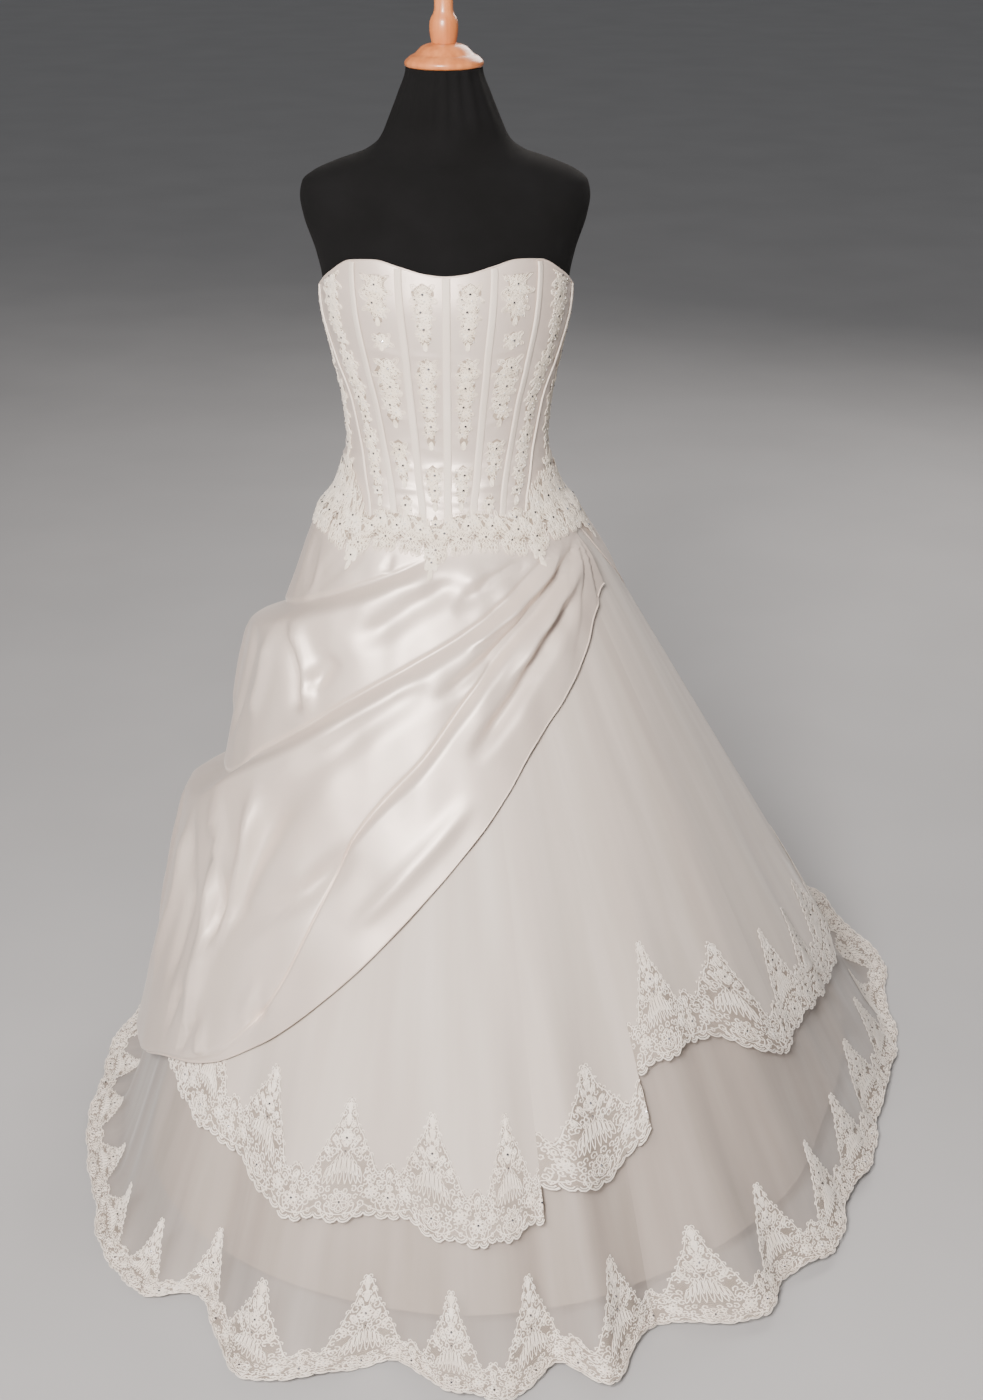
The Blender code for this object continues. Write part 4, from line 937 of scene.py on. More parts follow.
# Creases of the satin: points as (angle, height) from end to end, half width and depth in metres.
# A positive depth is a ridge that stands out, a negative one a trough.
SATIN_CREASES = [
    ([(-57, 0.894), (-46, 0.831), (-43, 0.762)], 0.010, 0.007),
    ([(-55, 0.865), (-49, 0.808), (-46, 0.758)], 0.012, -0.006),
    ([(-37, 0.850), (-44, 0.800)], 0.012, -0.005),
    ([(-64, 0.864), (-63, 0.787), (-65, 0.725)], 0.013, 0.005),
    ([(-74, 0.850), (-76, 0.760), (-80, 0.660)], 0.016, -0.005),
    ([(-40, 0.985), (-51, 0.965), (-61, 0.915)], 0.011, -0.006),
    ([(-43, 0.990), (-47, 0.955)], 0.007, -0.004),
    ([(-27, 0.984), (-29, 0.955)], 0.006, -0.0035),
    ([(-72, 0.975), (-64, 0.905)], 0.009, -0.004),
    ([(-72, 0.575), (-66, 0.469), (-73, 0.284)], 0.014, 0.007),
    ([(-69, 0.580), (-59, 0.480), (-60, 0.330)], 0.012, -0.006),
    ([(-62, 0.635), (-54, 0.580), (-51, 0.459), (-52, 0.345)], 0.010, 0.008),
    ([(-58, 0.600), (-50, 0.520), (-48, 0.420)], 0.008, -0.006),
    ([(-48, 0.680), (-46, 0.598), (-47, 0.498), (-50, 0.401), (-50, 0.295)], 0.009, 0.009),
    ([(-31, 0.720), (-41, 0.643), (-44, 0.578), (-46, 0.508), (-52, 0.406)], 0.020, -0.011),
    ([(-20, 0.630), (-30, 0.556), (-38, 0.520), (-46, 0.470)], 0.016, -0.009),
    ([(-33, 0.404), (-36, 0.372)], 0.008, -0.006),
    ([(-35, 0.425), (-38, 0.380)], 0.007, 0.004),
    ([(-48, 0.364), (-49, 0.324), (-50, 0.285)], 0.006, -0.006),
    ([(-46, 0.345), (-44, 0.305)], 0.008, 0.006),
    ([(-54, 0.380), (-56, 0.300)], 0.008, -0.005),
    ([(58, 0.930), (39, 0.883), (26, 0.837), (13, 0.780), (4, 0.735)], 0.010, -0.009),
    ([(62, 0.955), (42, 0.915), (30, 0.880), (16, 0.822)], 0.007, 0.005),
    ([(64, 0.975), (48, 0.940), (30, 0.900), (10, 0.850), (-8, 0.800)], 0.010, -0.006),
    ([(60, 0.982), (34, 0.934), (14, 0.893), (4, 0.872)], 0.006, 0.005),
    ([(40, 0.975), (20, 0.950), (0, 0.915)], 0.012, -0.005),
    ([(8, 0.960), (-14, 0.920), (-34, 0.865)], 0.018, -0.006),
    ([(-6, 0.840), (-24, 0.770), (-40, 0.690)], 0.020, -0.006),
    ([(6, 0.700), (-8, 0.610), (-20, 0.520)], 0.012, 0.004),
    ([(-96, 0.840), (-98, 0.740), (-99, 0.640)], 0.016, 0.006),
    ([(-112, 0.830), (-109, 0.740), (-112, 0.600)], 0.018, -0.008),
    ([(-128, 0.810), (-124, 0.700), (-127, 0.570)], 0.014, 0.006),
    ([(-146, 0.800), (-142, 0.690), (-146, 0.560)], 0.020, -0.008),
    ([(-163, 0.790), (-160, 0.680), (-162, 0.540)], 0.016, 0.005),
    ([(-88, 0.560), (-86, 0.430), (-90, 0.220)], 0.018, -0.008),
    ([(-101, 0.560), (-99, 0.420), (-102, 0.200)], 0.014, 0.008),
    ([(-115, 0.540), (-113, 0.400), (-117, 0.180)], 0.020, -0.009),
    ([(-131, 0.520), (-128, 0.380), (-132, 0.160)], 0.015, 0.008),
    ([(-147, 0.500), (-144, 0.360), (-148, 0.150)], 0.020, -0.008),
    ([(-165, 0.480), (-162, 0.350), (-165, 0.140)], 0.016, 0.006),
]
CREASE_STRENGTH = 1.8
BACK_PANEL_CREASES = [
    ([(172, 0.960), (168, 0.600), (166, 0.130)], 0.018, -0.008),
    ([(160, 0.940), (154, 0.640), (158, 0.240)], 0.016, 0.007),
    ([(146, 0.930), (142, 0.700), (150, 0.420)], 0.014, -0.007),
    ([(130, 0.940), (128, 0.800), (134, 0.640)], 0.012, 0.005),
    ([(108, 0.960), (112, 0.880)], 0.010, -0.005),
]


def crease_relief(creases, angle, height, radius):
    """Sum of all creases at each place of the satin."""
    total = np.zeros(np.broadcast(angle, height).shape)
    for path, half_width, depth in creases:
        depth = CREASE_STRENGTH * depth
        nearest = np.full(total.shape, 1e9)
        along = np.zeros(total.shape)
        for k, ((a0, h0), (a1, h1)) in enumerate(zip(path[:-1], path[1:])):
            x, y = np.radians(angle - a0) * radius, (height - h0) * 1.1
            dx, dy = np.radians(a1 - a0) * radius, (h1 - h0) * 1.1
            t = np.clip((x * dx + y * dy) / (dx * dx + dy * dy), 0, 1)
            distance = np.hypot(x - t * dx, y - t * dy)
            closer = distance < nearest
            nearest = np.where(closer, distance, nearest)
            along = np.where(closer, (k + t) / (len(path) - 1), along)
        taper = smooth(along / 0.25) * smooth((1 - along) / 0.25)
        total += depth * taper * np.exp(-(nearest / half_width) ** 2)
    return total


def fold_relief(angle, height):
    """How far the satin's folds stand out from its smooth cone. Each starts at a tucked crease."""
    lines = [read(SATIN_FOLDS, name, angle) for name in ("first", "second", "third", "edge")]
    lifts = [read(SATIN_FOLDS, name + "_lift", angle) for name in ("first", "second", "third")]
    relief = 0 * height
    rest = 0.0
    for k, lift in enumerate(lifts):
        below = lines[k] - height
        share = np.clip(below / np.maximum(lines[k] - lines[k + 1], 1e-6), 0, 1)
        rounding = 0.006 + 0.010 * smooth(lift / 0.045)
        shoulder = 1 - np.exp(-(np.maximum(below, 0) / rounding) ** 2)
        value = rest * (1 - shoulder) + lift * shoulder * blend(1.0, FOLD_REST, share)
        relief = np.where(below > 0, value, relief)
        tuck = TUCK_DEPTH * np.minimum(1, lift / 0.006) * np.exp(-(below / TUCK_HALF_WIDTH) ** 2)
        relief = relief - np.where(below <= 0.002, tuck, 0)
        rest = FOLD_REST * lift
    return relief


def hip_pleats(angle, height):
    """Sharp overlapping pleats that fan out from the gathered hip."""
    along = np.radians(HIP_ANGLE - wrapped(angle)) * HIP_RADIUS
    down = WAIST_SEAM - height
    reach = np.hypot(along, down)
    fan = np.arctan2(down, np.maximum(along, 1e-6)) / (math.pi / 2)
    strength = np.minimum(1.0, reach / PLEAT_START) * np.exp(-(reach / PLEAT_REACH) ** 2)
    saw = (PLEAT_COUNT * fan) % 1
    return PLEAT_DEPTH * strength * saw * smooth((1 - saw) / 0.18)


def satin_radius(angle, height):
    """Radius of the satin overskirt's outer face."""
    fraction = np.maximum(fraction_at(angle, height), 0)
    radius, _ = skirt_profile(angle, fraction)
    out = SATIN_OFFSET + SATIN_SPREAD * np.sqrt(fraction)
    free = smooth((WAIST_SEAM - height - SATIN_FLAT) / SATIN_RISE)
    turn = wrapped(angle)
    relief = fold_relief(turn, height) + hip_pleats(angle, height)
    relief = relief + crease_relief(SATIN_CREASES, turn, height, radius)
    relief = relief + SATIN_RIPPLE_DEPTH * ripples(np.asarray(angle) / 11, height * 9, 21)
    tier = UPPER_TIER_OFFSET + UPPER_TIER_SPREAD * np.sqrt(fraction) + upper_wave(angle, fraction)
    return radius + np.maximum(out + free * relief, tier + SATIN_CLEAR)


def satin_rows(angle):
    """Heights of the satin's rows at each column, which follow the fold lines."""
    turn = wrapped(angle)
    lines = [read(SATIN_FOLDS, name, turn) for name in ("first", "second", "third", "edge")]
    stops = [np.full_like(turn, SKIRT_TOP)]
    for line in lines[:-1]:
        stops += [line + 0.010, line + 0.001, line - 0.012, line - 0.032]
    stops.append(lines[-1])
    for i in range(1, len(stops)):
        stops[i] = np.minimum(stops[i], stops[i - 1] - 0.0008)
    stops[-1] = lines[-1]
    for i in range(len(stops) - 2, 0, -1):
        stops[i] = np.maximum(stops[i], stops[i + 1] + 0.0008)
    rows = []
    for i, (top, foot) in enumerate(zip(stops[:-1], stops[1:])):
        count = {0: 10, 4: 18, 8: 20, 12: 18}.get(i, 6)
        for k in range(count):
            rows.append(blend(top, foot, k / count))
    rows.append(stops[-1])
    return np.stack(rows, -1)


def build_overskirt():
    """The satin drape, its run behind, the panel behind the left hip, and their narrow hems."""
    for name, start, end in (("overskirt_drape", -90, 69), ("overskirt_back_r", -180, -90)):
        angle = np.linspace(start, end, round((end - start) / SATIN_STEP) + 1)
        height = satin_rows(angle)
        points = around(angle[:, None], satin_radius(angle[:, None], height), height)
        cloth_grid(name + "_satin", points, SATIN, name)
        hem_edge(name + "_hem", points[:, -1])
    share = np.linspace(0, 1, 81)[:, None]
    height = np.linspace(SKIRT_TOP, BACK_PANEL_FOOT, 111)[None]
    angle = blend(read(BACK_PANEL_EDGE, "angle", height), 180, share)
    height = height + 0 * angle
    fraction = np.maximum(fraction_at(angle, height), 0)
    radius, _ = skirt_profile(angle, fraction)
    near = UPPER_TIER_OFFSET + UPPER_TIER_SPREAD * np.sqrt(fraction)
    near = near + upper_wave(angle, fraction) + BACK_PANEL_CLEAR
    away = SATIN_OFFSET + BACK_PANEL_SPREAD * np.sqrt(fraction)
    radius = radius + np.maximum(near, blend(near, away, smooth(share / 0.16)))
    free = smooth((WAIST_SEAM - height - SATIN_FLAT) / SATIN_RISE)
    radius = radius + free * crease_relief(BACK_PANEL_CREASES, angle, height, radius)
    points = around(angle, radius, height)
    cloth_grid("overskirt_back_l_satin", points, SATIN, "overskirt_back_l")
    hem_edge("overskirt_back_l_hem", np.concatenate([points[0], points[1:, -1]]))


HEM_RADIUS = 0.0011


def hem_edge(name, path):
    """The rolled edge of the satin."""
    ring, faces = tube_along(path, HEM_RADIUS, 6)
    add_mesh(name, ring, faces, SATIN)


# Bodice


BODICE_PANELS = [
    ("bodice_front_centre", "centre", "inner"),
    ("bodice_front", "inner", "outer"),
    ("bodice_side_front", "outer", "side"),
    ("bodice_side_back", "side", "back"),
    ("bodice_back", "back", None),
]
TOP_HEIGHT = BODICE_SEAMS[1][-1][0]
WRINKLE_LEVELS = (0.07, 0.12, 0.18, 0.25, 0.33, 0.42, 0.60, 0.69)
NECKLINE_RADIUS = 0.0013


def seam_angle(seam, height):
    return 180.0 + 0 * height if seam is None else read(BODICE_SEAMS, seam, height)


def bodice_height(angle_at_top, level):
    return blend(WAIST_SEAM, read(NECKLINE, "height", np.abs(angle_at_top)), level)


def bodice_wrinkles(angle, level, seed):
    """Short strain folds that run across between the boning channels."""
    total = 0
    chance = np.random.default_rng(seed)
    for centre in WRINKLE_LEVELS:
        centre = centre + chance.uniform(-0.015, 0.015)
        slope = chance.uniform(-0.03, 0.03)
        width = chance.uniform(0.008, 0.016)
        depth = chance.uniform(0.0010, 0.0024) * (1.3 if centre < 0.3 else 0.8)
        total = total + depth * np.exp(-((level - centre - slope * angle) / width) ** 2)
    return total


def panel_seed(name, side):
    """Seed of one panel's own wrinkles."""
    return 40 + 2 * [panel[0] for panel in BODICE_PANELS].index(name) + (side > 0)


def bodice_surface(first, second, side, share, level, seed, out=0.0):
    """Points of one bodice panel. share runs from its front seam to its back seam."""
    top = blend(seam_angle(first, TOP_HEIGHT), seam_angle(second, TOP_HEIGHT), share)
    height = bodice_height(top, level)
    angle = blend(seam_angle(first, height), seam_angle(second, height), share)
    radius = oval_radius(BODICE, angle, height)
    cushion = 0.0009 * np.sin(math.pi * share) - 0.0004
    relief = cushion + bodice_wrinkles(share - 0.5, level, seed) * np.sin(math.pi * share) ** 0.7
    return around(side * angle, radius + relief + out, height)


def build_bodice():
    """Ten boned panels with a folded top edge, and the channels stitched over their seams."""
    level = np.linspace(1, 0, 111)[None]
    for name, first, second in BODICE_PANELS:
        share = np.linspace(0, 1, 41 if "side_back" in name else 17)[:, None]
        for suffix, side in (("_l", 1), ("_r", -1)):
            points = bodice_surface(first, second, side, share, level, panel_seed(name, side))
            cloth_grid(name + suffix + "_satin", points[::side], SATIN, name + suffix)
    angle = np.linspace(-180, 180, 361)
    height = bodice_height(angle, 1.0)
    path = around(angle, oval_radius(BODICE, angle, height) - 0.0004, height - 0.0006)
    ring, faces = tube_along(path, NECKLINE_RADIUS, 8)
    add_mesh("neckline_edge", ring, faces, SATIN)
    build_channels()


def build_channels():
    """Raised boning channels with a row of stitches along each side, and round side pipings."""
    level = np.linspace(0.995, 0.05, 140)
    for seam, name, half_width in (("centre", "channel_centre", 5.6), ("inner", "channel_inner", 5.6),
                                   ("outer", "channel_outer", 5.4), ("side", "piping_side", 2.2),
                                   ("back", "channel_back", 5.6)):
        for suffix, side in ((("", 1),) if seam == "centre" else (("_l", 1), ("_r", -1))):
            height = bodice_height(seam_angle(seam, TOP_HEIGHT), level)
            angle = side * seam_angle(seam, height)
            radius = oval_radius(BODICE, angle, height)
            across = np.linspace(-1, 1, 11)
            crown = np.sqrt(1 - across ** 2)
            if half_width > 3:
                crown = np.maximum(0, 1 - across ** 10) ** 0.5
                stitches = 0.6 + 0.4 * np.cos(np.arange(len(level)) * 2.2)
                groove = np.exp(-((np.abs(across[:, None]) - 0.70) / 0.09) ** 2)
                crown = crown[:, None] - 0.45 * groove * stitches
            else:
                crown = crown[:, None] + 0 * level[None]
            wide = np.degrees(half_width * MM / radius)
            turn = angle[None] + side * across[:, None] * wide[None]
            rise = (0.3 + 2.1 * crown) * MM
            points = around(turn, radius[None] + rise, height[None] + 0 * turn)
            cloth_grid(name + suffix + "_satin", points[::side], CHANNEL_SATIN, name + suffix)


def spray(drawing, top, foot, reach, seed):
    """A trailing spray of flowers, paired leaves and curls that tapers to a bud."""
    count = max(1, round((top - foot) / 16))
    for k in range(count):
        y = blend(top - 12, foot + 8, (k + 0.2) / count)
        taper = 1 - 0.5 * k / count
        size = min(reach * 0.6 * taper, 11)
        sway = 0.16 * reach * math.sin(2.4 * k + seed)
        if k % 2 == 0:
            for lean in (38, 142, -30, 210, 84):
                drawing.leaf(sway, y, reach * taper * (0.95 if lean != 84 else 0.6), size * 0.8,
                             lean + 8 * math.sin(k + seed), filled=False)
            drawing.flower(sway, y, size, 5, 90 + 25 * k, filled=False)
        else:
            for lean in (-58, 238, -5, 185):
                drawing.leaf(sway, y + 4, reach * taper * 0.9, size * 0.85, lean, filled=False)
            drawing.flower(sway, y + 3, size * 0.7, 5, 70 + 25 * k, "pearl", filled=False)
        drawing.beads.append((0.55 * reach * taper, y - 6, 1.3, "pearl"))
        drawing.beads.append((-0.55 * reach * taper, y + 5, 1.3, "crystal" if k % 3 == 1 else "pearl"))

    def half_width(y):
        taper = 0.82 - 0.46 * (top - y) / (top - foot)
        rounding = math.sqrt(max(0.0, min(1.0, (top - y) / 7, (y - foot) / 14)))
        return reach * taper * (0.78 + 0.22 * math.sin(0.30 * y + seed)) * rounding

    def inside(x, y):
        return abs(x) < half_width(y) - 1.5

    # A dark ground under the spray, painted shade between its cords.
    drawing.strip(np.linspace(top, foot, max(6, round((top - foot) / 5))), half_width)
    drawing.curls(seed, 7.8, -reach, reach, foot, top, inside)
    drawing.petal(0, foot + 11, 13, 7.5, -90)


# Height of the charts that the sprays are drawn in, in millimetres, and of the bodice in metres
SPRAY_CHART_HEIGHT = 368
BODICE_HEIGHT = 0.365


def build_appliques():
    """Corded sprays down the front, front side and side panels, sewn on with beads and crystals."""
    sprays = {
        "applique_centre": ("bodice_front_centre", [
            (354, 264, 21), (252, 120, 19), (98, 38, 16), (32, 12, 9)]),
        "applique_front": ("bodice_front", [
            (364, 296, 27), (286, 262, 17), (250, 150, 24), (132, 68, 16), (56, 34, 11)]),
        "applique_side": ("bodice_side_front", [
            (366, 250, 24), (255, 140, 19), (145, 40, 15), (36, 12, 14)]),
        "applique_side_back": ("bodice_side_back", [(328, 200, 26), (200, 90, 24), (90, 10, 24)]),
    }
    seams = {name: (first, second) for name, first, second in BODICE_PANELS}
    for name, (panel, stretches) in sprays.items():
        drawing = Drawing(0.66)
        for seed, (top, foot, reach) in enumerate(stretches):
            spray(drawing, top, foot, reach, seed)
        first, second = seams[panel]
        for suffix, side in (("_l", 1), ("_r", -1)):
            def place(x, y, out, side=side, first=first, second=second, panel=panel):
                middle = 0.5 if panel != "bodice_side_back" else 0.22
                level = np.clip(y / SPRAY_CHART_HEIGHT, 0.012, 0.985)
                height = WAIST_SEAM + level * BODICE_HEIGHT
                width = np.radians(seam_angle(second, height) - seam_angle(first, height))
                width = width * oval_radius(BODICE, seam_angle(first, height), height) / MM
                edge = 7.0 / width if panel != "bodice_side_back" else 0.02
                share = np.clip(middle + side * x / width, edge, 1 - edge)
                top = blend(seam_angle(first, TOP_HEIGHT), seam_angle(second, TOP_HEIGHT), share)
                level = np.clip((height - WAIST_SEAM) / (bodice_height(top, 1.0) - WAIST_SEAM), 0, 0.985)
                return bodice_surface(first, second, side, share, level, panel_seed(panel, side),
                                      (out + 0.3) * MM)

            replaced = name + suffix if panel != "bodice_side_back" else None
            lay_drawings(name + suffix + "_cords", [drawing], BODICE_LACE, [(0, place)], replaced)


# Mean radius of the waist, and the width of one repeat of its lace in millimetres
WAIST_RADIUS = 0.172
GARLAND_WIDTH = 38.0


def build_waist_lace():
    """The beaded lace band over the waist seam, which climbs at the sides."""
    garland = Drawing(0.7)
    for lean in (20, 160, 200, -20, 65, 115, 250, 290):
        garland.leaf(0, 6, 18, 7.5, lean, filled=False)
    for x, y, lean in ((-13, 20, 100), (13, 18, 80), (-13, 20, 30), (13, 18, 150),
                       (-15, 4, -75), (15, 4, 255)):
        garland.leaf(x, y, 15, 7, lean, filled=False)
    garland.flower(0, 6, 10, 6, 90, filled=False)
    garland.flower(-13, 20, 8, 5, 70, "pearl", filled=False)
    garland.flower(13, 18, 8.5, 5, 110, filled=False)
    garland.curls(7, 7.8, -18, 18, -3, 32, lambda x, y: abs(x) + abs(y - 8) > 14)
    for x, y in ((-16, 8), (8, -3), (-6, 26), (16, 28)):
        garland.beads.append((x, y, 1.3, "pearl" if x > 0 else "crystal"))
    # A dark ground under the garland, painted shade between its cords.
    garland.strip(np.linspace(30, -6, 8), lambda y: 19.5 - 0.02 * (y - 12) ** 2)
    pendant = Drawing()
    pendant.flower(0, -6, 7, 5, -90)
    pendant.petal(0, -10, 12, 7, -90)
    for lean in (-50, 230):
        pendant.leaf(0, -4, 13, 6, lean)

    def place_at(middle):
        def place(x, y, out):
            angle = middle + np.degrees(x * MM / WAIST_RADIUS)
            turn = wrapped(angle)
            foot = read(WAIST_LACE, "foot", turn)
            climb = 1 + 0.75 * smooth((np.abs(turn) - 38) / 25) * smooth((118 - np.abs(turn)) / 25)
            height = foot + 1.2 * (y + 4) * MM * np.where(y > 0, climb, 1.0)
            radius = np.maximum(oval_radius(BODICE, turn, np.maximum(height, WAIST_SEAM)) + 0.0022,
                                np.where(height < WAIST_SEAM, satin_radius(turn, height) + 0.0006, 0))
            return around(turn, radius + (0.8 * out + LACE_LIFT) * MM, height)
        return place

    for name, start, end in (("waist_lace_front", -90, 90), ("waist_lace_back", 90, 270)):
        repeats = []
        step = math.degrees(GARLAND_WIDTH * MM / WAIST_RADIUS)
        count = round((end - start) / step)
        for k in range(count):
            repeats.append((0, place_at(blend(start, end, (k + 0.5) / count))))
        for middle in (-144, -108, -47, -8, 43, 84, 108, 144, 180):
            for turned_to in (middle, middle + 360):
                if start <= turned_to < end:
                    repeats.append((1, place_at(turned_to)))
        lay_drawings(name + "_cords", [garland, pendant], BODICE_LACE, repeats, name)


# Dress form


# The jersey cover's seams, and its folds under the neck cap
SEAM_DEPTH = 0.0012
SEAM_HALF_WIDTH = 0.0022
ARM_SEAM_DEPTH = 0.0010
GATHER_DEPTH = 0.0022


def form_relief(angle, height):
    """Relief of the jersey cover: the collar and arm seams, and the folds gathered above them."""
    turn = np.radians(angle)
    collar = 1.500 - 0.012 * np.cos(turn)
    relief = -SEAM_DEPTH * np.exp(-((height - collar) / SEAM_HALF_WIDTH) ** 2)
    gather = smooth((height - 1.515) / 0.05)
    folds = 0.5 + 0.5 * np.cos(15 * turn + 2.2 * np.sin(turn) + 16 * (height - 1.5) * np.sin(2 * turn))
    relief = relief + GATHER_DEPTH * gather * folds
    arm = np.exp(-((np.abs(wrapped(angle)) - 90) / 34) ** 8) * smooth((height - 1.33) / 0.01)
    plate = (np.abs(wrapped(angle)) - 90) / 30
    edge = np.exp(-((np.abs(plate) - 0.82) / 0.05) ** 2) * smooth((1.462 - height) / 0.02)
    return relief - ARM_SEAM_DEPTH * arm * edge


# Radius and height over the foot of each turned piece, from the top down
CAP_FOOT = NECK_TOP + 0.0003
NECK_CAP = [
    (0.001, 0.030), (0.018, 0.030), (0.024, 0.0285), (0.030, 0.026), (0.035, 0.0215),
    (0.038, 0.018), (0.0405, 0.0160), (0.042, 0.0155), (0.046, 0.0135), (0.050, 0.010),
    (0.0525, 0.0075), (0.053, 0.005), (0.0525, 0.002), (0.050, 0), (0.001, 0),
]
FINIAL_FOOT = CAP_FOOT + 0.0303
FINIAL = [
    (0.0005, 0.104), (0.004, 0.1035), (0.007, 0.102), (0.0105, 0.099), (0.0125, 0.095),
    (0.0145, 0.090), (0.0150, 0.084), (0.0146, 0.078), (0.0135, 0.072), (0.0127, 0.065),
    (0.0125, 0.058), (0.0125, 0.042), (0.0140, 0.037), (0.0165, 0.033), (0.0185, 0.028),
    (0.0192, 0.022), (0.0191, 0.016), (0.0185, 0.010), (0.0175, 0.005), (0.0165, 0), (0.0005, 0),
]


def build_form():
    """Jersey torso with its seams, and the turned wood and metal of the stand."""
    heights = np.concatenate([np.linspace(TORSO_FOOT, 0.91, 9)[:-1], np.linspace(0.91, 1.33, 24)[:-1],
                              np.linspace(1.33, NECK_TOP, 90)])[::-1]
    angle = np.linspace(-180, 180, 145)[:-1, None]
    radius = oval_radius(FORM, angle, heights[None])
    points = around(angle, radius + form_relief(angle, heights[None]), heights[None] + 0 * angle)
    foot = points[:, -1:] * [0.0, 0.0, 1.0]
    top = points[:, :1] * [0.0, 0.0, 1.0]
    points = np.concatenate([top, points, foot], axis=1)
    torso = cloth_grid("torso_jersey", points, JERSEY, "torso", closed=True)
    turned("neck_cap", CAP_FOOT, NECK_CAP)
    turned("finial", FINIAL_FOOT, FINIAL)
    for name in ("base", "pole"):
        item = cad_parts[name]
        item.data.materials.clear()
        item.data.materials.append(METAL)


def turned(name, foot, profile):
    angle = np.linspace(-180, 180, 73)[:-1, None]
    radius = np.array([point[0] for point in profile])[None]
    height = foot + np.array([point[1] for point in profile])[None] + 0 * angle
    points = around(angle, radius + 0 * angle, height)
    piece = cloth_grid(name + "_turned", points, WOOD, name, closed=True)
    piece.data.set_sharp_from_angle(angle=math.radians(60))


# Cloth as cut


# Each bodice panel's widest and longest line and its area, in metres, and what is sewn on it
BODICE_SHEETS = [
    ("front_centre", 0.067, 0.382, 0.0187, ["applique_centre%s_cords"]),
    ("front", 0.069, 0.394, 0.0212, ["channel_inner%s_satin", "applique_front%s_cords"]),
    ("side_front", 0.094, 0.390, 0.0211, ["channel_outer%s_satin", "applique_side%s_cords"]),
    ("side_back", 0.341, 0.358, 0.0637, ["piping_side%s_satin", "applique_side_back%s_cords"]),
    ("back", 0.125, 0.320, 0.0293, ["channel_back%s_satin"]),
]
# The same for the skirts, with the piece that each rests on
LINING_SHEETS = [
    ("underskirt_front_lining", 1.852, 1.064, 1.2515, "bodice_front_centre_l_satin"),
    ("underskirt_back_lining", 1.994, 1.113, 1.3271, "bodice_back_l_satin"),
]
GATHERED_SHEETS = [
    ("lower_skirt_front", 0.829, 1.161, 0.4776, "underskirt_front_lining"),
    ("lower_skirt_front_l", 0.802, 1.135, 0.5305, "underskirt_front_lining"),
    ("lower_skirt_back_l", 0.980, 1.355, 0.6668, "underskirt_back_lining"),
    ("lower_skirt_back", 0.971, 1.361, 0.6726, "underskirt_back_lining"),
    ("lower_skirt_back_r", 0.743, 1.275, 0.4689, "underskirt_back_lining"),
    ("lower_skirt_front_r", 0.695, 1.131, 0.4552, "underskirt_front_lining"),
    ("upper_skirt_side_r", 0.744, 0.831, 0.4023, "lower_skirt_front_r_organza"),
    ("upper_skirt_front", 0.768, 0.946, 0.4107, "lower_skirt_front_organza"),
    ("upper_skirt_front_l", 0.209, 0.893, 0.1006, "lower_skirt_front_organza"),
    ("upper_skirt_side_l", 0.337, 0.838, 0.1540, "lower_skirt_front_l_organza"),
    ("upper_skirt_back", 1.567, 0.881, 0.8428, "lower_skirt_back_organza"),
]
# How each stretch of satin is held, the tier that it rests on and the lace that is sewn on it
SATIN_SHEETS = [
    ("overskirt_drape", 1.429, 0.961, 0.5256, "draped", "front", ["waist_lace_front_cords"]),
    ("overskirt_back_r", 0.924, 1.039, 0.6175, "draped", "back", []),
    ("overskirt_back_l", 0.362, 1.165, 0.3434, "hung", "back", ["waist_lace_back_cords"]),
]
# The nets of the borders: width, height at the peaks and flat area
NET_SHEETS = [
    ("lower_lace_front", 0.842, 0.138, 0.0502), ("lower_lace_front_l", 0.816, 0.142, 0.0586),
    ("lower_lace_back_l", 0.995, 0.142, 0.0563), ("lower_lace_back", 0.988, 0.105, 0.0545),
    ("lower_lace_back_r", 0.755, 0.087, 0.0283), ("lower_lace_front_r", 0.707, 0.111, 0.0278),
    ("upper_lace_side_r", 0.840, 0.165, 0.0693), ("upper_lace_front", 0.835, 0.166, 0.0686),
    ("upper_lace_front_l", 0.211, 0.163, 0.0176), ("upper_lace_side_l", 0.354, 0.166, 0.0283),
    ("upper_lace_back", 1.704, 0.165, 0.1444),
]


def declare_sheet(name, size, held, under):
    """Unpacks the width and length that a piece of cloth was cut to, and its flat area, and keeps none of
    them.
    """
    width, length, area = size


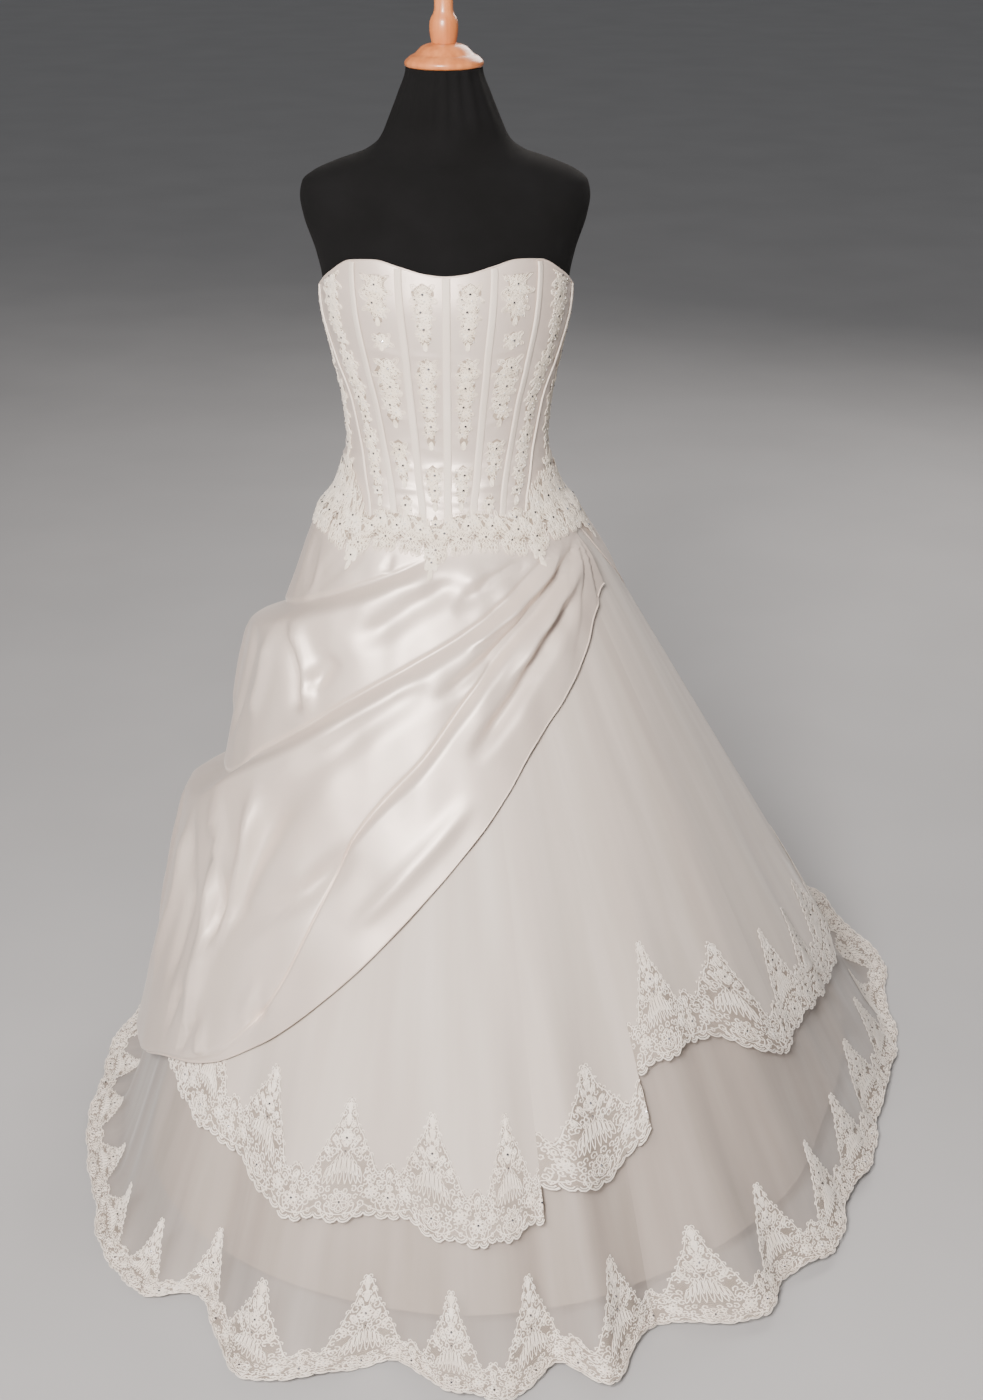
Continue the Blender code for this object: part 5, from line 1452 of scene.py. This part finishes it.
def declare_sheets():
    for name, *size, sewn_on in BODICE_SHEETS:
        for suffix in ("_l", "_r"):
            on_it = [piece % suffix for piece in sewn_on]
            if name + suffix == "front_centre_l":
                on_it += ["channel_centre_satin", "neckline_edge"]
            declare_sheet("bodice_" + name + suffix + "_satin", size, "stretched", "torso_jersey")
    for name, *size, under in LINING_SHEETS:
        declare_sheet(name, size, "hung", under)
    for name, *size, under in GATHERED_SHEETS:
        declare_sheet(name + "_organza", size, "gathered", under)
    for name, *size, held, tier, lace in SATIN_SHEETS:
        declare_sheet(name + "_satin", size, held, "upper_skirt_" + tier + "_organza")
    for name, *size in NET_SHEETS:
        under = name.replace("lace", "skirt") + "_organza"
        declare_sheet(name + "_net", size, "laid", under)


# Camera, floor and light


def add_light(name, kind, energy, direction, **settings):
    """A light that shines along a direction."""
    lamp = bpy.data.objects.new(name, bpy.data.lights.new(name, kind))
    lamp.data.energy = energy
    for key, value in settings.items():
        setattr(lamp.data, key, value)
    lamp.rotation_euler = Vector(direction).to_track_quat("-Z", "Y").to_euler()
    bpy.context.scene.collection.objects.link(lamp)
    return lamp


def build_studio():
    """The photograph's viewpoint, a plain pale floor and soft light."""
    camera = bpy.data.objects.new("camera", bpy.data.cameras.new("camera"))
    camera.location = (0, -2.775, 1.91)
    camera.rotation_euler = (math.radians(90 - 23.7), 0, -math.radians(1.30))
    camera.data.sensor_fit = "VERTICAL"
    camera.data.sensor_height = 36
    camera.data.lens = 51.43
    bpy.context.scene.collection.objects.link(camera)
    bpy.context.scene.camera = camera

    bpy.ops.mesh.primitive_plane_add(size=60, location=(0, 12, 0))
    floor = bpy.context.active_object
    floor.name = "studio_floor"
    look = Look("studio_floor", Roughness=0.85)
    look.tones(look.noise(look.solid, 2.0), (0.42, 0.42, 0.43), (0.45, 0.45, 0.46))
    floor.data.materials.append(look.material)

    for name, (x, y, z), size, energy in (("key", (-0.7, -3.1, 2.7), 0.8, 290),
                                          ("fill", (-3.2, -0.6, 1.7), 2.0, 8),
                                          ("back", (1.6, 3.2, 3.2), 2.2, 120)):
        lamp = add_light(name, "AREA", energy, (-x, -y, 0.8 - z), size=size, color=(1.0, 0.93, 0.875))
        lamp.location = (x, y, z)
    add_light("sky", "SUN", 0.4, (1.2, 2.8, -3.0), angle=0.6)
    world = bpy.data.worlds.new("studio")
    world.use_nodes = True
    background = world.node_tree.nodes["Background"]
    background.inputs["Color"].default_value = (0.80, 0.81, 0.83, 1)
    background.inputs["Strength"].default_value = 0.15
    bpy.context.scene.world = world


build_studio()
build_form()
build_underskirt()
build_lower_tier()
build_upper_tier()
build_overskirt()
build_bodice()
build_appliques()
build_waist_lace()
build_beads()
declare_sheets()
